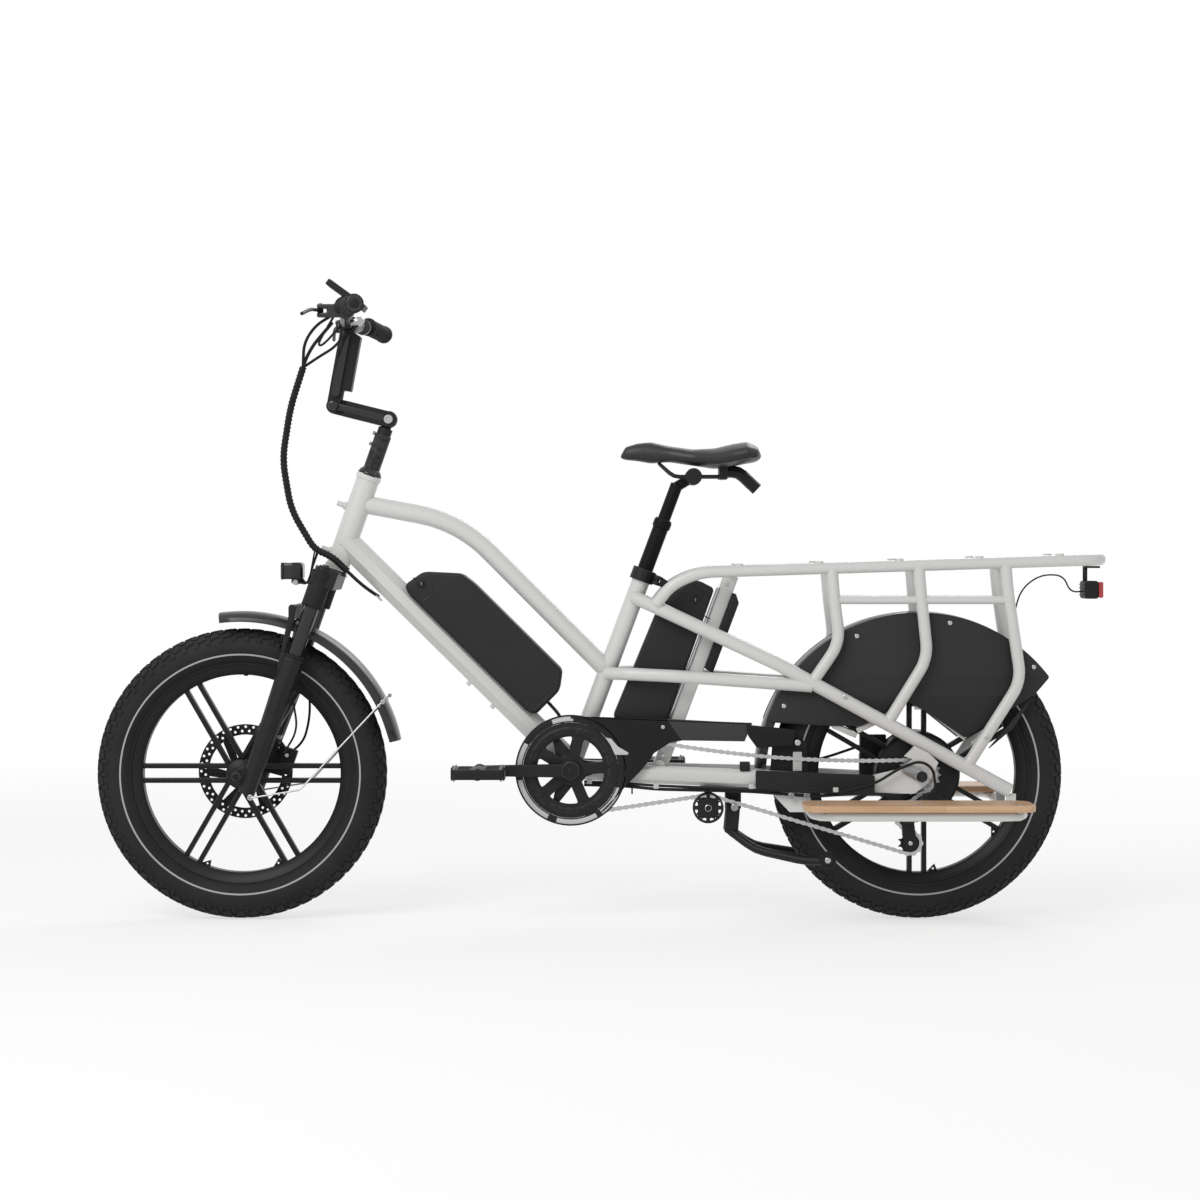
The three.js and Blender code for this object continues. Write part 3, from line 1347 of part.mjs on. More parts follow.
// Chain path: the wheels it runs round, in order, each with the side it turns to (1 or -1)
const idler = point(bracketX + idlerReach, 0, idlerHeight);
const upperJockey = point(rearAxleX - upperJockeyAhead, 0, rearAxle.z - upperJockeyDrop);
const lowerJockey = point(rearAxleX - lowerJockeyAhead, 0, rearAxle.z - lowerJockeyDrop);
const chainWheels = [
  { centre: bracket, radius: ringPitchRadius, side: 1 },
  { centre: idler, radius: idlerPitchRadius, side: -1 },
  { centre: lowerJockey, radius: jockeyPitchRadius, side: 1 },
  { centre: upperJockey, radius: jockeyPitchRadius, side: -1 },
  { centre: rearAxle, radius: sprocketPitchRadius, side: 1 },
];

// Angle on each wheel at which a straight run from one to the next touches it
function tangent(from, to) {
  const dx = to.centre.x - from.centre.x;
  const dz = to.centre.z - from.centre.z;
  const distance = Math.hypot(dx, dz);
  const heading = Math.atan2(dz, dx);
  const lean = Math.asin((from.side * from.radius - to.side * to.radius) / distance);
  return heading + lean;
}

function chainPath() {
  const count = chainWheels.length;
  const headings = chainWheels.map((wheel, i) => tangent(wheel, chainWheels[(i + 1) % count]));
  const path = [];
  chainWheels.forEach((wheel, i) => {
    const arrive = headings[(i + count - 1) % count] - (wheel.side * Math.PI) / 2;
    const leave = headings[i] - (wheel.side * Math.PI) / 2;
    let turn = (leave - arrive) * wheel.side;
    while (turn < 0) turn += Math.PI * 2;
    while (turn > Math.PI * 2) turn -= Math.PI * 2;
    const steps = Math.max(2, Math.ceil(turn / chainStep));
    for (let k = 0; k <= steps; k += 1) {
      const angle = arrive + (wheel.side * turn * k) / steps;
      path.push([wheel.centre.x + wheel.radius * Math.cos(angle),
        wheel.centre.z + wheel.radius * Math.sin(angle)]);
    }
  });
  const [lastX, lastZ] = path[path.length - 1];
  const [firstX, firstZ] = path[0];
  for (let k = 1; k < fineSteps; k += 1) {
    const t = k / fineSteps;
    path.push([lastX + (firstX - lastX) * t, lastZ + (firstZ - lastZ) * t - 4 * chainSag * t * (1 - t)]);
  }
  return path;
}

function offsetLoop(path, distance) {
  return path.map(([x, z], i) => {
    const [bx, bz] = path[(i + path.length - 1) % path.length];
    const [ax, az] = path[(i + 1) % path.length];
    const length = Math.hypot(ax - bx, az - bz);
    return [x + ((az - bz) / length) * distance, z - ((ax - bx) / length) * distance];
  });
}

function chain() {
  const path = chainPath();
  const y0 = -chainPlane - chainWidth / 2;
  const inner = offsetLoop(path, -chainHeight / 2);
  return cut(
    plate(offsetLoop(path, chainHeight / 2), y0, y0 + chainWidth),
    plate(inner, y0 - overrun, y0 + chainWidth + overrun));
}
add("chain", chain(), steel);

const chainInner = chainHeight / 2 + runningGap * 2;
function cassette() {
  const y0 = -chainPlane - cassetteWidth / 2;
  const step = cassetteWidth / sprocketCount;
  const profile = [[rearAxleRadius + runningGap, y0 + cassetteWidth]];
  const rest = sprocketPitchRadius - chainInner;
  const chainLow = -chainPlane - chainWidth / 2 - gap;
  const chainHigh = -chainPlane + chainWidth / 2 + gap;
  profile.push([rearAxleRadius + runningGap, y0], [cassetteSmallRadius, y0], [cassetteSmallRadius, chainLow]);
  profile.push([rest, chainLow], [rest, chainHigh]);
  profile.push([cassetteRadius, chainHigh], [cassetteRadius, y0 + cassetteWidth]);
  return turned(profile, rearAxle);
}
add("cassette", cassette(), steel);

function idlerPulley() {
  const half = chainWidth / 2 + gap;
  const flange = half + pulleyFlange;
  const groove = idlerPitchRadius - chainInner;
  const bore = standPinRadius + runningGap;
  return turned([
    [bore, -chainPlane - flange], [idlerFlangeRadius, -chainPlane - flange],
    [idlerFlangeRadius, -chainPlane - half],
    [groove, -chainPlane - half], [groove, -chainPlane + half], [idlerFlangeRadius, -chainPlane + half],
    [idlerFlangeRadius, -chainPlane + flange], [bore, -chainPlane + flange],
  ], idler);
}
add("idler_pulley", idlerPulley(), black);

// Derailleur: two cage plates with jockey wheels between them and a body up to the dropout
function derailleur() {
  const outerY = -chainPlane - chainWidth / 2 - runningGap;
  const innerY = -chainPlane + chainWidth / 2 + runningGap;
  const capsule = (y0, y1) => join(
    disc(upperJockey, cageHalfWidth, y0, y1, roundSteps),
    disc(lowerJockey, cageHalfWidth, y0, y1, roundSteps),
    beam(
      point(upperJockey.x, (y0 + y1) / 2, upperJockey.z), point(lowerJockey.x, (y0 + y1) / 2, lowerJockey.z),
      [[-(y1 - y0) / 2, -cageHalfWidth], [(y1 - y0) / 2, -cageHalfWidth],
        [(y1 - y0) / 2, cageHalfWidth], [-(y1 - y0) / 2, cageHalfWidth]]));
  const wheels = [upperJockey, lowerJockey].flatMap((centre) => [
    disc(centre, jockeyPitchRadius - chainInner, -chainPlane - chainWidth / 2 + gap,
    -chainPlane + chainWidth / 2 - gap),
    disc(centre, spindleRadius / 2, outerY - cageThickness / 2, innerY + cageThickness / 2, 8),
  ]);
  const hanger = point(rearAxle.x + hangerBack, -dropoutOuter + rearDropoutThickness / 2,
    rearAxle.z - dropoutDepth);
  const knuckle = point(upperJockey.x, outerY - cageHalfWidth, upperJockey.z);
  const body = join(
    rod(point(hanger.x, hanger.y - cageHalfWidth, hanger.z - knuckleDrop),
      point(hanger.x, hanger.y + cageHalfWidth / 2, hanger.z - knuckleDrop), cageHalfWidth),
    rod(point(hanger.x, hanger.y - cageHalfWidth / 2, hanger.z - knuckleDrop), knuckle, linkRadius),
    rod(point(knuckle.x, knuckle.y - cageHalfWidth, knuckle.z), point(knuckle.x, outerY, knuckle.z),
      cageHalfWidth),
    rod(point(hanger.x, hanger.y, hanger.z - knuckleDrop), hanger, hangerRadius));
  const plates = [capsule(outerY - cageThickness, outerY), capsule(innerY, innerY + cageThickness)];
  return cut(join(...plates, ...wheels, body), dropoutPlate(gap));
}

// Cranks: the ring and its guard on the chain side, an arm and a pedal on each side
function chainring() {
  const teeth = ringPitchRadius - chainInner;
  const inside = -chainPlane + discThickness;
  const ringPlate = ring(bracket, ringGuardInnerRadius - spiderArmWidth / 3, teeth,
    -chainPlane - discThickness, inside, ringSteps);
  const outside = -guardPlace - discThickness;
  const guard = ring(bracket, ringGuardInnerRadius, ringGuardRadius, outside,
    -guardPlace + discThickness / 2, ringSteps);
  const arms = Array.from({ length: spiderArms }, (_, i) => {
    const arm = box(spindleRadius * armRootShare, ringGuardInnerRadius + discThickness * 2, outside, inside,
      -spiderArmWidth / 2, spiderArmWidth / 2);
    return arm.rotate([0, (360 / spiderArms) * i + 36, 0]).translate([bracket.x, 0, bracket.z]);
  });
  const hub = disc(bracket, bracketRadius * ringHubShare, -leftCrankPlace + gap, inside);
  const bore = disc(bracket, spindleRadius + gap, -leftCrankPlace - overrun, inside + overrun);
  return cut(join(ringPlate, guard, ...arms, hub), bore);
}

function crankArm(sign, place) {
  const half = crankWidth / 2;
  const [y0, y1] = sign < 0 ? [-place - crankThickness, -place] : [place, place + crankThickness];
  const tip = point(bracket.x + sign * crankLength, 0, bracket.z);
  const arm = plate([
    [bracket.x, bracket.z - half], [tip.x, bracket.z - half * crankTaper],
    [tip.x, bracket.z + half * crankTaper], [bracket.x, bracket.z + half],
  ].sort((a, b) => Math.atan2(a[1] - bracket.z, a[0] - (bracket.x + tip.x) / 2)
    - Math.atan2(b[1] - bracket.z, b[0] - (bracket.x + tip.x) / 2)), y0, y1);
  const eye = disc(tip, half, y0, y1);
  const boss = disc(bracket, half * crankBossShare, y0, y1);
  const hole = disc(tip, pedalAxleRadius + runningGap, y0 - overrun, y1 + overrun, roundSteps);
  return cut(join(arm, eye, boss), hole);
}

function crankLeft() {
  const bore = disc(bracket, spindleRadius + gap, -leftCrankPlace - crankThickness - overrun,
    -leftCrankPlace + overrun);
  return cut(crankArm(-1, leftCrankPlace), bore);
}
function crankRight() {
  const spindle = disc(bracket, spindleRadius, -leftCrankPlace - crankThickness + gap,
    rightCrankPlace + crankThickness / 2);
  return join(crankArm(1, rightCrankPlace), spindle);
}

// Pedal: a frame of two rails and ends round an axle that reaches into the crank
function pedal(sign, place) {
  const x = bracket.x + sign * crankLength;
  const start = place + crankThickness + runningGap * 2;
  const end = start + pedalWidth;
  const span = (a, b) => (sign < 0 ? [-b, -a] : [a, b]);
  const long = pedalLength / 2;
  const high = pedalThickness / 2;
  const rail = (low, highEnd) => box(x - long, x + long, ...span(low, highEnd), bracket.z - high,
    bracket.z + high);
  const blocks = [-1, 1].map((side) => box(
    x + side * (long - pedalBodyRail / 2) - pedalBodyRail / 2,
      x + side * (long - pedalBodyRail / 2) + pedalBodyRail / 2,
    ...span(start, end), bracket.z - high, bracket.z + high));
  const [a0, a1] = span(place + gap, end);
  const axle = disc(point(x, 0, bracket.z), pedalAxleRadius, a0, a1, roundSteps);
  const barrel = disc(point(x, 0, bracket.z), high * pedalBarrelShare, ...span(start, end), roundSteps);
  return join(rail(start, start + pedalBodyRail / 2), rail(end - pedalBodyRail / 2, end), ...blocks,
    axle, barrel);
}
add("chainring", chainring(), black);
add("crank_left", crankLeft(), black);
add("crank_right", crankRight(), black);
add("pedal_left", pedal(-1, leftCrankPlace), black);
add("pedal_right", pedal(1, rightCrankPlace), black);

// Chain guard: a round rim beside the chainring and a bar along the upper chain run
function chainGuard() {
  const y0 = -guardPlace - guardWall;
  const top = bracket.z + guardRadius - gap * 10;
  const end = bracket.x + guardLength;
  const rim = ring(bracket, ringGuardRadius + runningGap * 3, guardRadius, y0, -guardPlace, ringSteps);
  const barX = bracket.x;
  const bar = plate([
    [barX, top], [end, top - guardFall], [end - guardLip, top - guardFall - guardHeight],
    [barX + guardRadius * guardHeelReach, top - guardHeight - guardLip / 3],
    [barX + guardRadius * guardWaistReach, top - guardHeight * guardWaistDrop],
    [barX + guardRadius * guardToeReach, bracket.z - guardRadius * guardToeDrop],
  ], y0, -guardPlace);
  const lip = plate([
    [barX + guardRadius / 10, top - guardWall], [barX + guardRadius / 10, top],
    [end, top - guardFall], [end, top - guardFall - guardWall],
  ], -guardPlace - guardWall / 2, -guardPlace + guardLip);
  const opening = disc(bracket, ringGuardRadius + runningGap * 3, y0 - overrun,
    -guardPlace + guardLip + overrun, ringSteps);
  const stub = rod(
    point(barX + guardBracketReach, -guardPlace - guardWall / 2, top - guardBracketDrop),
    point(barX + guardBracketReach, -seatTubeRadius, top - guardBracketDrop), pegRadius, 8);
  const strap = box(
    seat(guardBracketRise).x, barX + guardBracketReach + pegRadius, -seatTubeRadius - pegRadius,
      -seatTubeRadius + pegRadius,
    top - guardBracketDrop - pegRadius, top - guardBracketDrop + pegRadius);
  return cut(join(cut(join(rim, bar), opening), cut(lip, opening), stub, strap),
    clampSpace(seatTubeRadius + gap));
}
add("chain_guard", chainGuard(), black);
add("derailleur", derailleur(), black);

// Seat clamp with a quick-release lever behind it
function seatClamp() {
  const low = seatTop - clampHeight * clampLapShare;
  const collar = rod(seat(low), seat(low + clampHeight), clampRadius, fineSteps);
  const ears = plate([
    corner2(seat(low + overrun / 2, 0)), corner2(seat(low + clampHeight - overrun / 2, 0)),
    corner2(seat(low + clampHeight - overrun / 2, -clampRadius - clampEarLength / 2)),
    corner2(seat(low + overrun / 2, -clampRadius - clampEarLength / 2)),
  ], -clampEarWidth / 2, clampEarWidth / 2);
  const lip = rod(seat(low - overrun), seat(low + clampHeight + overrun), outerPostRadius + gap, fineSteps);
  const tube = rod(seat(low - overrun), seat(seatTop + gap), seatTubeRadius + gap, fineSteps);
  const bolt = rod(clampBolt(-leverPinPlace), clampBolt(clampEarWidth / 2 + axleNutLength / 2),
    stayRadius, 8);
  const pin = rod(leverPin(-leverEyeHalf), leverPin(leverEyeHalf), stayRadius, 8);
  return join(cut(join(collar, ears), lip, tube), bolt, pin);
}
const clampMiddle = seatTop - clampHeight * (clampLapShare - 1 / 2);
const clampBoltBack = -clampRadius - clampEarLength / 4;
const clampBolt = (y) => seat(clampMiddle, clampBoltBack, y);
const leverPin = (rise) => seat(clampMiddle + rise, clampBoltBack, -leverPinPlace);

// The lever's eye is a fork round the bolt's end, so it can swing outwards on the upright pin.
function seatLever() {
  const slot = stayRadius + runningGap;
  const forks = [[-leverEyeHalf, -slot], [slot, leverEyeHalf]].map(([from, to]) =>
    rod(leverPin(from), leverPin(to), leverEyeRadius));
  const root = clampBoltBack - stayRadius * 2;
  const tip = root - leverArmLength;
  const blade = plate([
    corner2(seat(clampMiddle - leverEyeHalf, root)), corner2(seat(clampMiddle + leverEyeHalf, root)),
    corner2(seat(clampMiddle + leverEyeHalf / 2, tip)), corner2(seat(clampMiddle - leverEyeHalf, tip)),
  ], -leverPinPlace - leverArmThickness / 2, -leverPinPlace + leverArmThickness / 2);
  const hole = rod(leverPin(-leverEyeHalf - overrun), leverPin(leverEyeHalf + overrun), slot, 8);
  return cut(join(...forks, blade), hole);
}
add("seat_clamp", seatClamp(), black);
add("seat_lever", seatLever(), black);

// Telescopic seat post and its tilting head
function outerPost() {
  const tube = rod(seat(outerPostBase), seat(outerPostTop), outerPostRadius, fineSteps);
  const collar = rod(seat(outerPostTop - postCollarHeight), seat(outerPostTop), postCollarRadius, fineSteps);
  const bore = rod(seat(outerPostBase - overrun), seat(outerPostTop + overrun), outerPostBore, fineSteps);
  return cut(join(tube, collar), bore);
}
const seatPivot = seat(seatHeadAlong, -seatHeadBehind);
function innerPost() {
  const bend = seatHeadAlong - seatHeadBehind;
  const tube = rod(seat(innerPostBase), seat(bend), innerPostRadius, fineSteps);
  const neck = rod(seat(bend - innerPostRadius / 2), seatPivot, innerPostRadius * postNeckShare);
  const eye = disc(seatPivot, seatHeadRadius, -seatHeadWidth / 2, seatHeadWidth / 2);
  const hole = disc(seatPivot, stayRadius + runningGap, -seatHeadWidth, seatHeadWidth, 8);
  return cut(join(tube, neck, eye), hole);
}
add("seatpost_outer", outerPost(), black);
add("seatpost_inner", innerPost(), black);

// Saddle: cross sections lofted from nose to tail, as shares of length, height and half width
const saddleShares = [
  [0, 0.5, 0.4, 0.08], [0.035, 0.82, 0.34, 0.15], [0.12, 0.95, 0.3, 0.2], [0.22, 1, 0.21, 0.23],
  [0.35, 0.85, 0.26, 0.27], [0.52, 0.73, 0.14, 0.42], [0.68, 0.77, 0.03, 0.72], [0.8, 0.92, 0.1, 0.94],
  [0.9, 1, 0.22, 1], [0.97, 0.85, 0.28, 0.88], [1, 0.5, 0.34, 0.62],
];
const saddleRingShares = [
  [0, 0], [0.62, 0.02], [0.93, 0.16], [1, 0.42], [0.93, 0.68], [0.72, 0.87], [0.38, 0.97], [0, 1],
];

function saddleShell() {
  const ringPoints = [
    ...saddleRingShares,
    ...saddleRingShares.slice(1, -1).reverse().map(([across, up]) => [-across, up]),
  ];
  const count = ringPoints.length;
  const places = [];
  for (const [along, top, bottom, wide] of saddleShares) {
    const x = seatPivot.x + saddleRear - saddleLength * (1 - along);
    const z0 = seatPivot.z + saddleDrop + saddleHeight * bottom;
    const z1 = seatPivot.z + saddleDrop + saddleHeight * top;
    for (const [across, up] of ringPoints) {
      places.push(x, (across * wide * saddleWidth) / 2, z0 + (z1 - z0) * up);
    }
  }
  const index = [];
  for (let i = 0; i < saddleShares.length - 1; i += 1) {
    for (let k = 0; k < count; k += 1) {
      const a = i * count + k;
      const b = i * count + ((k + 1) % count);
      index.push(a, a + count, b, b, a + count, b + count);
    }
  }
  const last = (saddleShares.length - 1) * count;
  for (let k = 1; k < count - 1; k += 1) {
    index.push(0, k, k + 1, last, last + k + 1, last + k);
  }
  const geometry = new THREE.BufferGeometry();
  geometry.setAttribute("position", new THREE.BufferAttribute(new Float32Array(places), 3));
  geometry.setIndex(index);
  return solid(geometry);
}

const railY = saddleRailSpacing / 2;
const atSeat = (x, y, z) => point(seatPivot.x + x, y, seatPivot.z + z);
function saddleRailWire(extra) {
  const side = (sign) => [
    atSeat(railBlockStart + jawWidth, sign * railY, 0), atSeat(-railBendReach, sign * railY, 0),
    atSeat(-railNoseReach, (sign * railY) / 2, railNoseRise),
  ];
  return pipe([...side(1), ...side(-1).reverse()], saddleRailRadius + extra, railY / 2, wireSteps);
}
function railBlocks(extra) {
  return box(
    seatPivot.x + railBlockStart - extra, seatPivot.x + railBlockStart + jawWidth + extra,
    -railY - jawWidth / 2 - extra, railY + jawWidth / 2 + extra,
    seatPivot.z - saddleRailRadius - saddleRailRadius / 2 - extra, seatPivot.z + saddleDrop + overrun + extra);
}
function saddleRails() {
  const jaws = [-1, 1].map((sign) => {
    const near = sign * (seatHeadWidth / 2 + runningGap);
    const far = sign * (railY + jawWidth / 2);
    return disc(seatPivot, jawRadius, Math.min(near, far), Math.max(near, far));
  });
  const bolt = disc(seatPivot, stayRadius, -railY, railY, 8);
  return join(saddleRailWire(0), railBlocks(0), ...jaws, bolt, bumper(0));
}
function bumper(extra) {
  return pipe([
    atSeat(railBlockStart + jawWidth / 2, 0, bumperRise), atSeat(bumperKnee, 0, bumperRise),
    atSeat(bumperReach, 0, -bumperDrop),
  ], bumperRadius + extra, bumperRadius);
}
add("saddle", cut(saddleShell(), saddleRailWire(gap), railBlocks(gap), bumper(gap)), rubber);
add("saddle_rails", saddleRails(), black);

// Kickstand bracket: a plate below the chainstays with the stand's pin and the idler pulley's arm
const standPivot = point(bracketX + standPivotReach, 0, standPivotHeight);
const standHalf = standBlockWidth / 2;
const standLug = standHalf / 2;
function standBracket() {
  const top = chainstayPoints[2].z - chainstayHeight / 2 - gap;
  const low = top - standPlateThickness;
  const deck = box(
    idler.x - idlerPitchRadius / 2, standPivot.x + idlerFlangeRadius, -rackHalf, rackHalf, low, top);
  const lug = box(
    standPivot.x - standFootRadius, standPivot.x + standFootRadius, -standLug, standLug,
    standPivot.z - standFootRadius / 2, top - overrun / 2);
  const pin = disc(standPivot, standPinRadius, -standHalf - overrun, standHalf + overrun, roundSteps);
  const armOuter = -chainPlane + chainWidth / 2 + pulleyFlange + runningGap * 3;
  const arm = box(
    idler.x - axleNutRadius / 2, idler.x + axleNutRadius / 2, armOuter, armOuter + standPlateThickness,
    idler.z - axleNutRadius / 2, low + overrun / 2);
  const axle = disc(
    idler, standPinRadius, -chainPlane - chainWidth / 2 - pulleyFlange - overrun,
      armOuter + overrun / 2, roundSteps);
  return join(deck, lug, pin, arm, axle);
}
add("stand_bracket", standBracket(), black);

// Kickstand: two lugs on the pin, a cross bar and two legs with rubber feet
function kickstand() {
  const foot = (sign) => point(
    standPivot.x + standFootReach, (sign * standFootSpacing) / 2, standPivot.z - standFootDrop);
  const elbow = (sign) => point(
    standPivot.x + standElbowReach, sign * (standHalf + standLegRadius * 2), standPivot.z - standElbowDrop);
  const heel = (sign) => point(
    standPivot.x - standLegRadius / 2, sign * (standLug + standLegRadius), standPivot.z - standHeelDrop);
  const y0 = standLug + gap * 2;
  const parts = [-1, 1].flatMap((sign) => {
    const [a, b] = sign < 0 ? [-standHalf, -y0] : [y0, standHalf];
    const lug = plate([
      [standPivot.x - axleNutRadius, standPivot.z], [heel(1).x - axleNutRadius, heel(1).z],
      [heel(1).x, heel(1).z - standLegRadius], [heel(1).x + axleNutRadius, heel(1).z],
      [standPivot.x + axleNutRadius, standPivot.z],
    ], a, b);
    return [
      lug,
      disc(standPivot, axleNutRadius, a, b, roundSteps),
      pipe([
        heel(sign), elbow(sign),
        point(foot(sign).x - standElbowReach, foot(sign).y - sign * standLegRadius,
        foot(sign).z - standLegRadius / 4),
        foot(sign),
      ], standLegRadius, standElbowReach / 2, roundSteps),
      disc(foot(sign), standFootRadius, foot(sign).y - standFootWidth / 2,
      foot(sign).y + standFootWidth / 2, roundSteps),
    ];
  });
  const cross = rod(heel(-1), heel(1), standLegRadius);
  const hole = disc(standPivot, standPinRadius + runningGap, -standBlockWidth, standBlockWidth, roundSteps);
  return cut(join(...parts, cross), hole);
}
add("kickstand", kickstand(), black);

// Rear brake caliper on a lug that stands on the chainstay
function rearCaliper() {
  const middle = rearDiscPlace + discThickness / 2;
  const [x, z] = around(rearAxle, rearDiscRadius * caliperReachShare, caliperPlaceAngle);
  const half = caliperLength / 2;
  const body = box(x - half, x + half, middle - caliperWidth / 2, middle + caliperWidth / 2,
    z - half, z + half);
  const lug = box(
    x - half, x + half / 2, middle + caliperSlot / 2, dropoutInner - gap,
    rearAxle.z - chainstayHeight / 2, z - half / 2);
  return cut(join(body, lug), discSpace(rearAxle, rearDiscRadius, rearDiscPlace), mirrored(chainstaySpace));
}
add("rear_caliper", rearCaliper(), black);

// Tail light under the rack's tail loop
function tailLight() {
  const bar = tailX - railRadius;
  const rodX = tailX - tailLightBack;
  const under = railZ(tailX) - railRadius - gap;
  const low = under - tailBracketDrop;
  const strap = box(
    rodX - tailBracketThickness, bar + railRadius / 2, -tailBracketWidth / 2, tailBracketWidth / 2,
    under - tailBracketThickness, under);
  const hanger = rod(point(rodX, 0, under - tailBracketThickness / 2), point(rodX, 0, low - overrun),
    pegRadius);
  const lamp = box(
    rodX - tailBracketThickness, rodX + tailLightDepth, -tailLightWidth / 2, tailLightWidth / 2,
    low - tailLightHeight, low);
  return join(strap, hanger, lamp);
}
add("tail_light", tailLight(), black);

// Cable bundle from the lever to the down tube, drawn on its real route
const bundleRoute = [
  [-16, -150, -8], [-62, -132, -58], [-100, -92, -160], [-118, -66, -256], [-104, -50, -350],
  [-60, -46, -425],
].map(([x, y, z]) => point(barCentre.x + x, y, barCentre.z + z));
const bundleEnd = bundleFoot.map(([x, y, z]) => point(x, y, z));
function cableBundle() {
  return pipe([...bundleRoute, ...bundleEnd], bundleRadius, overrun * 6, wireSteps);
}
add("cable_bundle", cableBundle(), black);

export default bike;
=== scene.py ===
# %% [markdown]
# # A longtail cargo bike, dressed over its frame
# The bike arrives as plain faceted solids that already sit at their real size and place.
# This script gives each of them its visible surface: smooth tubes, moulded cases, tyres with
# tread, a chain with links, and a finish for every material.

# %% Load the frame
import json
from math import asin, atan2, ceil, cos, hypot, pi, radians, sin

import bmesh
import bpy
from mathutils import Matrix, Vector


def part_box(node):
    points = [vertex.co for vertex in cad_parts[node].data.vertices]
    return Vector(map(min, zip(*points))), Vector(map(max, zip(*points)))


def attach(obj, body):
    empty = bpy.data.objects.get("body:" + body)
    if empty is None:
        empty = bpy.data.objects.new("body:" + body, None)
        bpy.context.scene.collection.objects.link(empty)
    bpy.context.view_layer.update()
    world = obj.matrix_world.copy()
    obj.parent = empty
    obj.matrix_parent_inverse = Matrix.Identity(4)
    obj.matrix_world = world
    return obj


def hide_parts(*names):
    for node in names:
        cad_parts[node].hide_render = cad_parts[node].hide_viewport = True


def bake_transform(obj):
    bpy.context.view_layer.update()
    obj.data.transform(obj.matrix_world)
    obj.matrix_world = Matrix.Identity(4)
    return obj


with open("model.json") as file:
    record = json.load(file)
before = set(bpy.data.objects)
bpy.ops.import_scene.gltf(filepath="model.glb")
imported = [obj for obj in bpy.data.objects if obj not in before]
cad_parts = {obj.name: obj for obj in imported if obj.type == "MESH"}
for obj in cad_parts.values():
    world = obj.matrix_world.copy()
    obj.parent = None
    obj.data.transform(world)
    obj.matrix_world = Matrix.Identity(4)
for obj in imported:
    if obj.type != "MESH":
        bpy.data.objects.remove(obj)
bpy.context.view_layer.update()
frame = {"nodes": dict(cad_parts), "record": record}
scene = bpy.context.scene
MM = 0.001
BOTH_SIDES = ((-1, "left"), (1, "right"))
body_of_node = {
    node: body for body, nodes in frame["record"]["behaviour"]["bodies"].items() for node in nodes
}


def linked(name, data):
    """A new object of this data, linked into the scene."""
    thing = bpy.data.objects.new(name, data)
    scene.collection.objects.link(thing)
    return thing


def mesh_from(name, bm):
    mesh = bpy.data.meshes.new(name)
    bm.to_mesh(mesh)
    bm.free()
    return mesh


# %% [markdown]
# ## Camera
# The photograph is a level side view. Its horizon lies a little above the middle, so the camera
# looks straight ahead from half the bar's height and its film is shifted down.

# %% Camera
photo_width_px = 1200
horizon_above_middle_px = 40
mm_per_px = 1.897
camera_distance = 5.0
camera_height = 0.679

camera_data = bpy.data.cameras.new("camera")
camera_data.lens = camera_data.sensor_width * camera_distance / (photo_width_px * mm_per_px * MM)
camera_data.shift_y = -horizon_above_middle_px / photo_width_px
camera = linked("camera", camera_data)
camera.location = (0, -camera_distance, camera_height)
camera.rotation_euler = (radians(90), 0, 0)
scene.camera = camera


# %% Node helpers
def fill(tree, socket, value):
    """Gives an input its value, or links it when the value is another node's output."""
    if isinstance(value, bpy.types.NodeSocket):
        tree.links.new(value, socket)
    else:
        socket.default_value = value


def add_node(tree, kind, values=(), **settings):
    """A shader node; the settings come first, because they decide which inputs it has."""
    node = tree.nodes.new("ShaderNode" + kind)
    for key, value in settings.items():
        setattr(node, key, value)
    for key, value in dict(values).items():
        fill(tree, node.inputs[key], value)
    return node


def math_node(tree, operation, first, second, clamp=False):
    return add_node(tree, "Math", {0: first, 1: second}, operation=operation, use_clamp=clamp).outputs[0]


def noise(tree, vector, scale, detail=3.0, roughness=0.55):
    values = {"Vector": vector, "Scale": scale, "Detail": detail, "Roughness": roughness}
    return add_node(tree, "TexNoise", values).outputs["Fac"]


# %% [markdown]
# ## Light, floor and backdrop
# A product photograph on white has one broad soft light above and ahead, a weaker one behind and
# light from all round. The white that the camera sees comes from the background itself, so the
# lamps can stay at the level at which a colour renders as it is written.

# %% Studio
sky_strength = 0.55
key_power = 125
rim_power = 50
white = (1, 1, 1, 1)

world = bpy.data.worlds.new("studio")
scene.world = world
world.use_nodes = True
sky = world.node_tree
sky.nodes.clear()
path = add_node(sky, "LightPath").outputs
lit = add_node(sky, "Background", {"Color": white, "Strength": sky_strength})
seen = add_node(sky, "Background", {"Color": white})
direct = math_node(sky, "MAXIMUM", path["Is Camera Ray"], path["Is Glossy Ray"])
direct = math_node(sky, "MAXIMUM", direct, path["Is Transmission Ray"])
mix = add_node(sky, "MixShader", {"Fac": direct, 1: lit.outputs[0], 2: seen.outputs[0]})
add_node(sky, "OutputWorld", {"Surface": mix.outputs[0]})


def soft_lamp(name, place, power, size):
    aim = Vector((0, 0, 0.5))
    data = bpy.data.lights.new(name, "AREA")
    data.energy = power
    data.size = size
    lamp = linked(name, data)
    lamp.location = place
    lamp.rotation_euler = (aim - Vector(place)).to_track_quat("-Z", "Y").to_euler()


soft_lamp("key", (-2.2, -3.4, 3.6), key_power, 2.6)
soft_lamp("rim", (1.5, 3.0, 3.2), rim_power, 2.2)
scene.view_settings.view_transform = "Standard"

# %% Floor
floor_half = 30.0
floor_fade_start = 1.6
floor_fade_end = 4.5
floor_glow = 0.65

bm = bmesh.new()
bmesh.ops.create_grid(bm, x_segments=1, y_segments=1, size=floor_half)
floor = linked("floor", mesh_from("floor", bm))

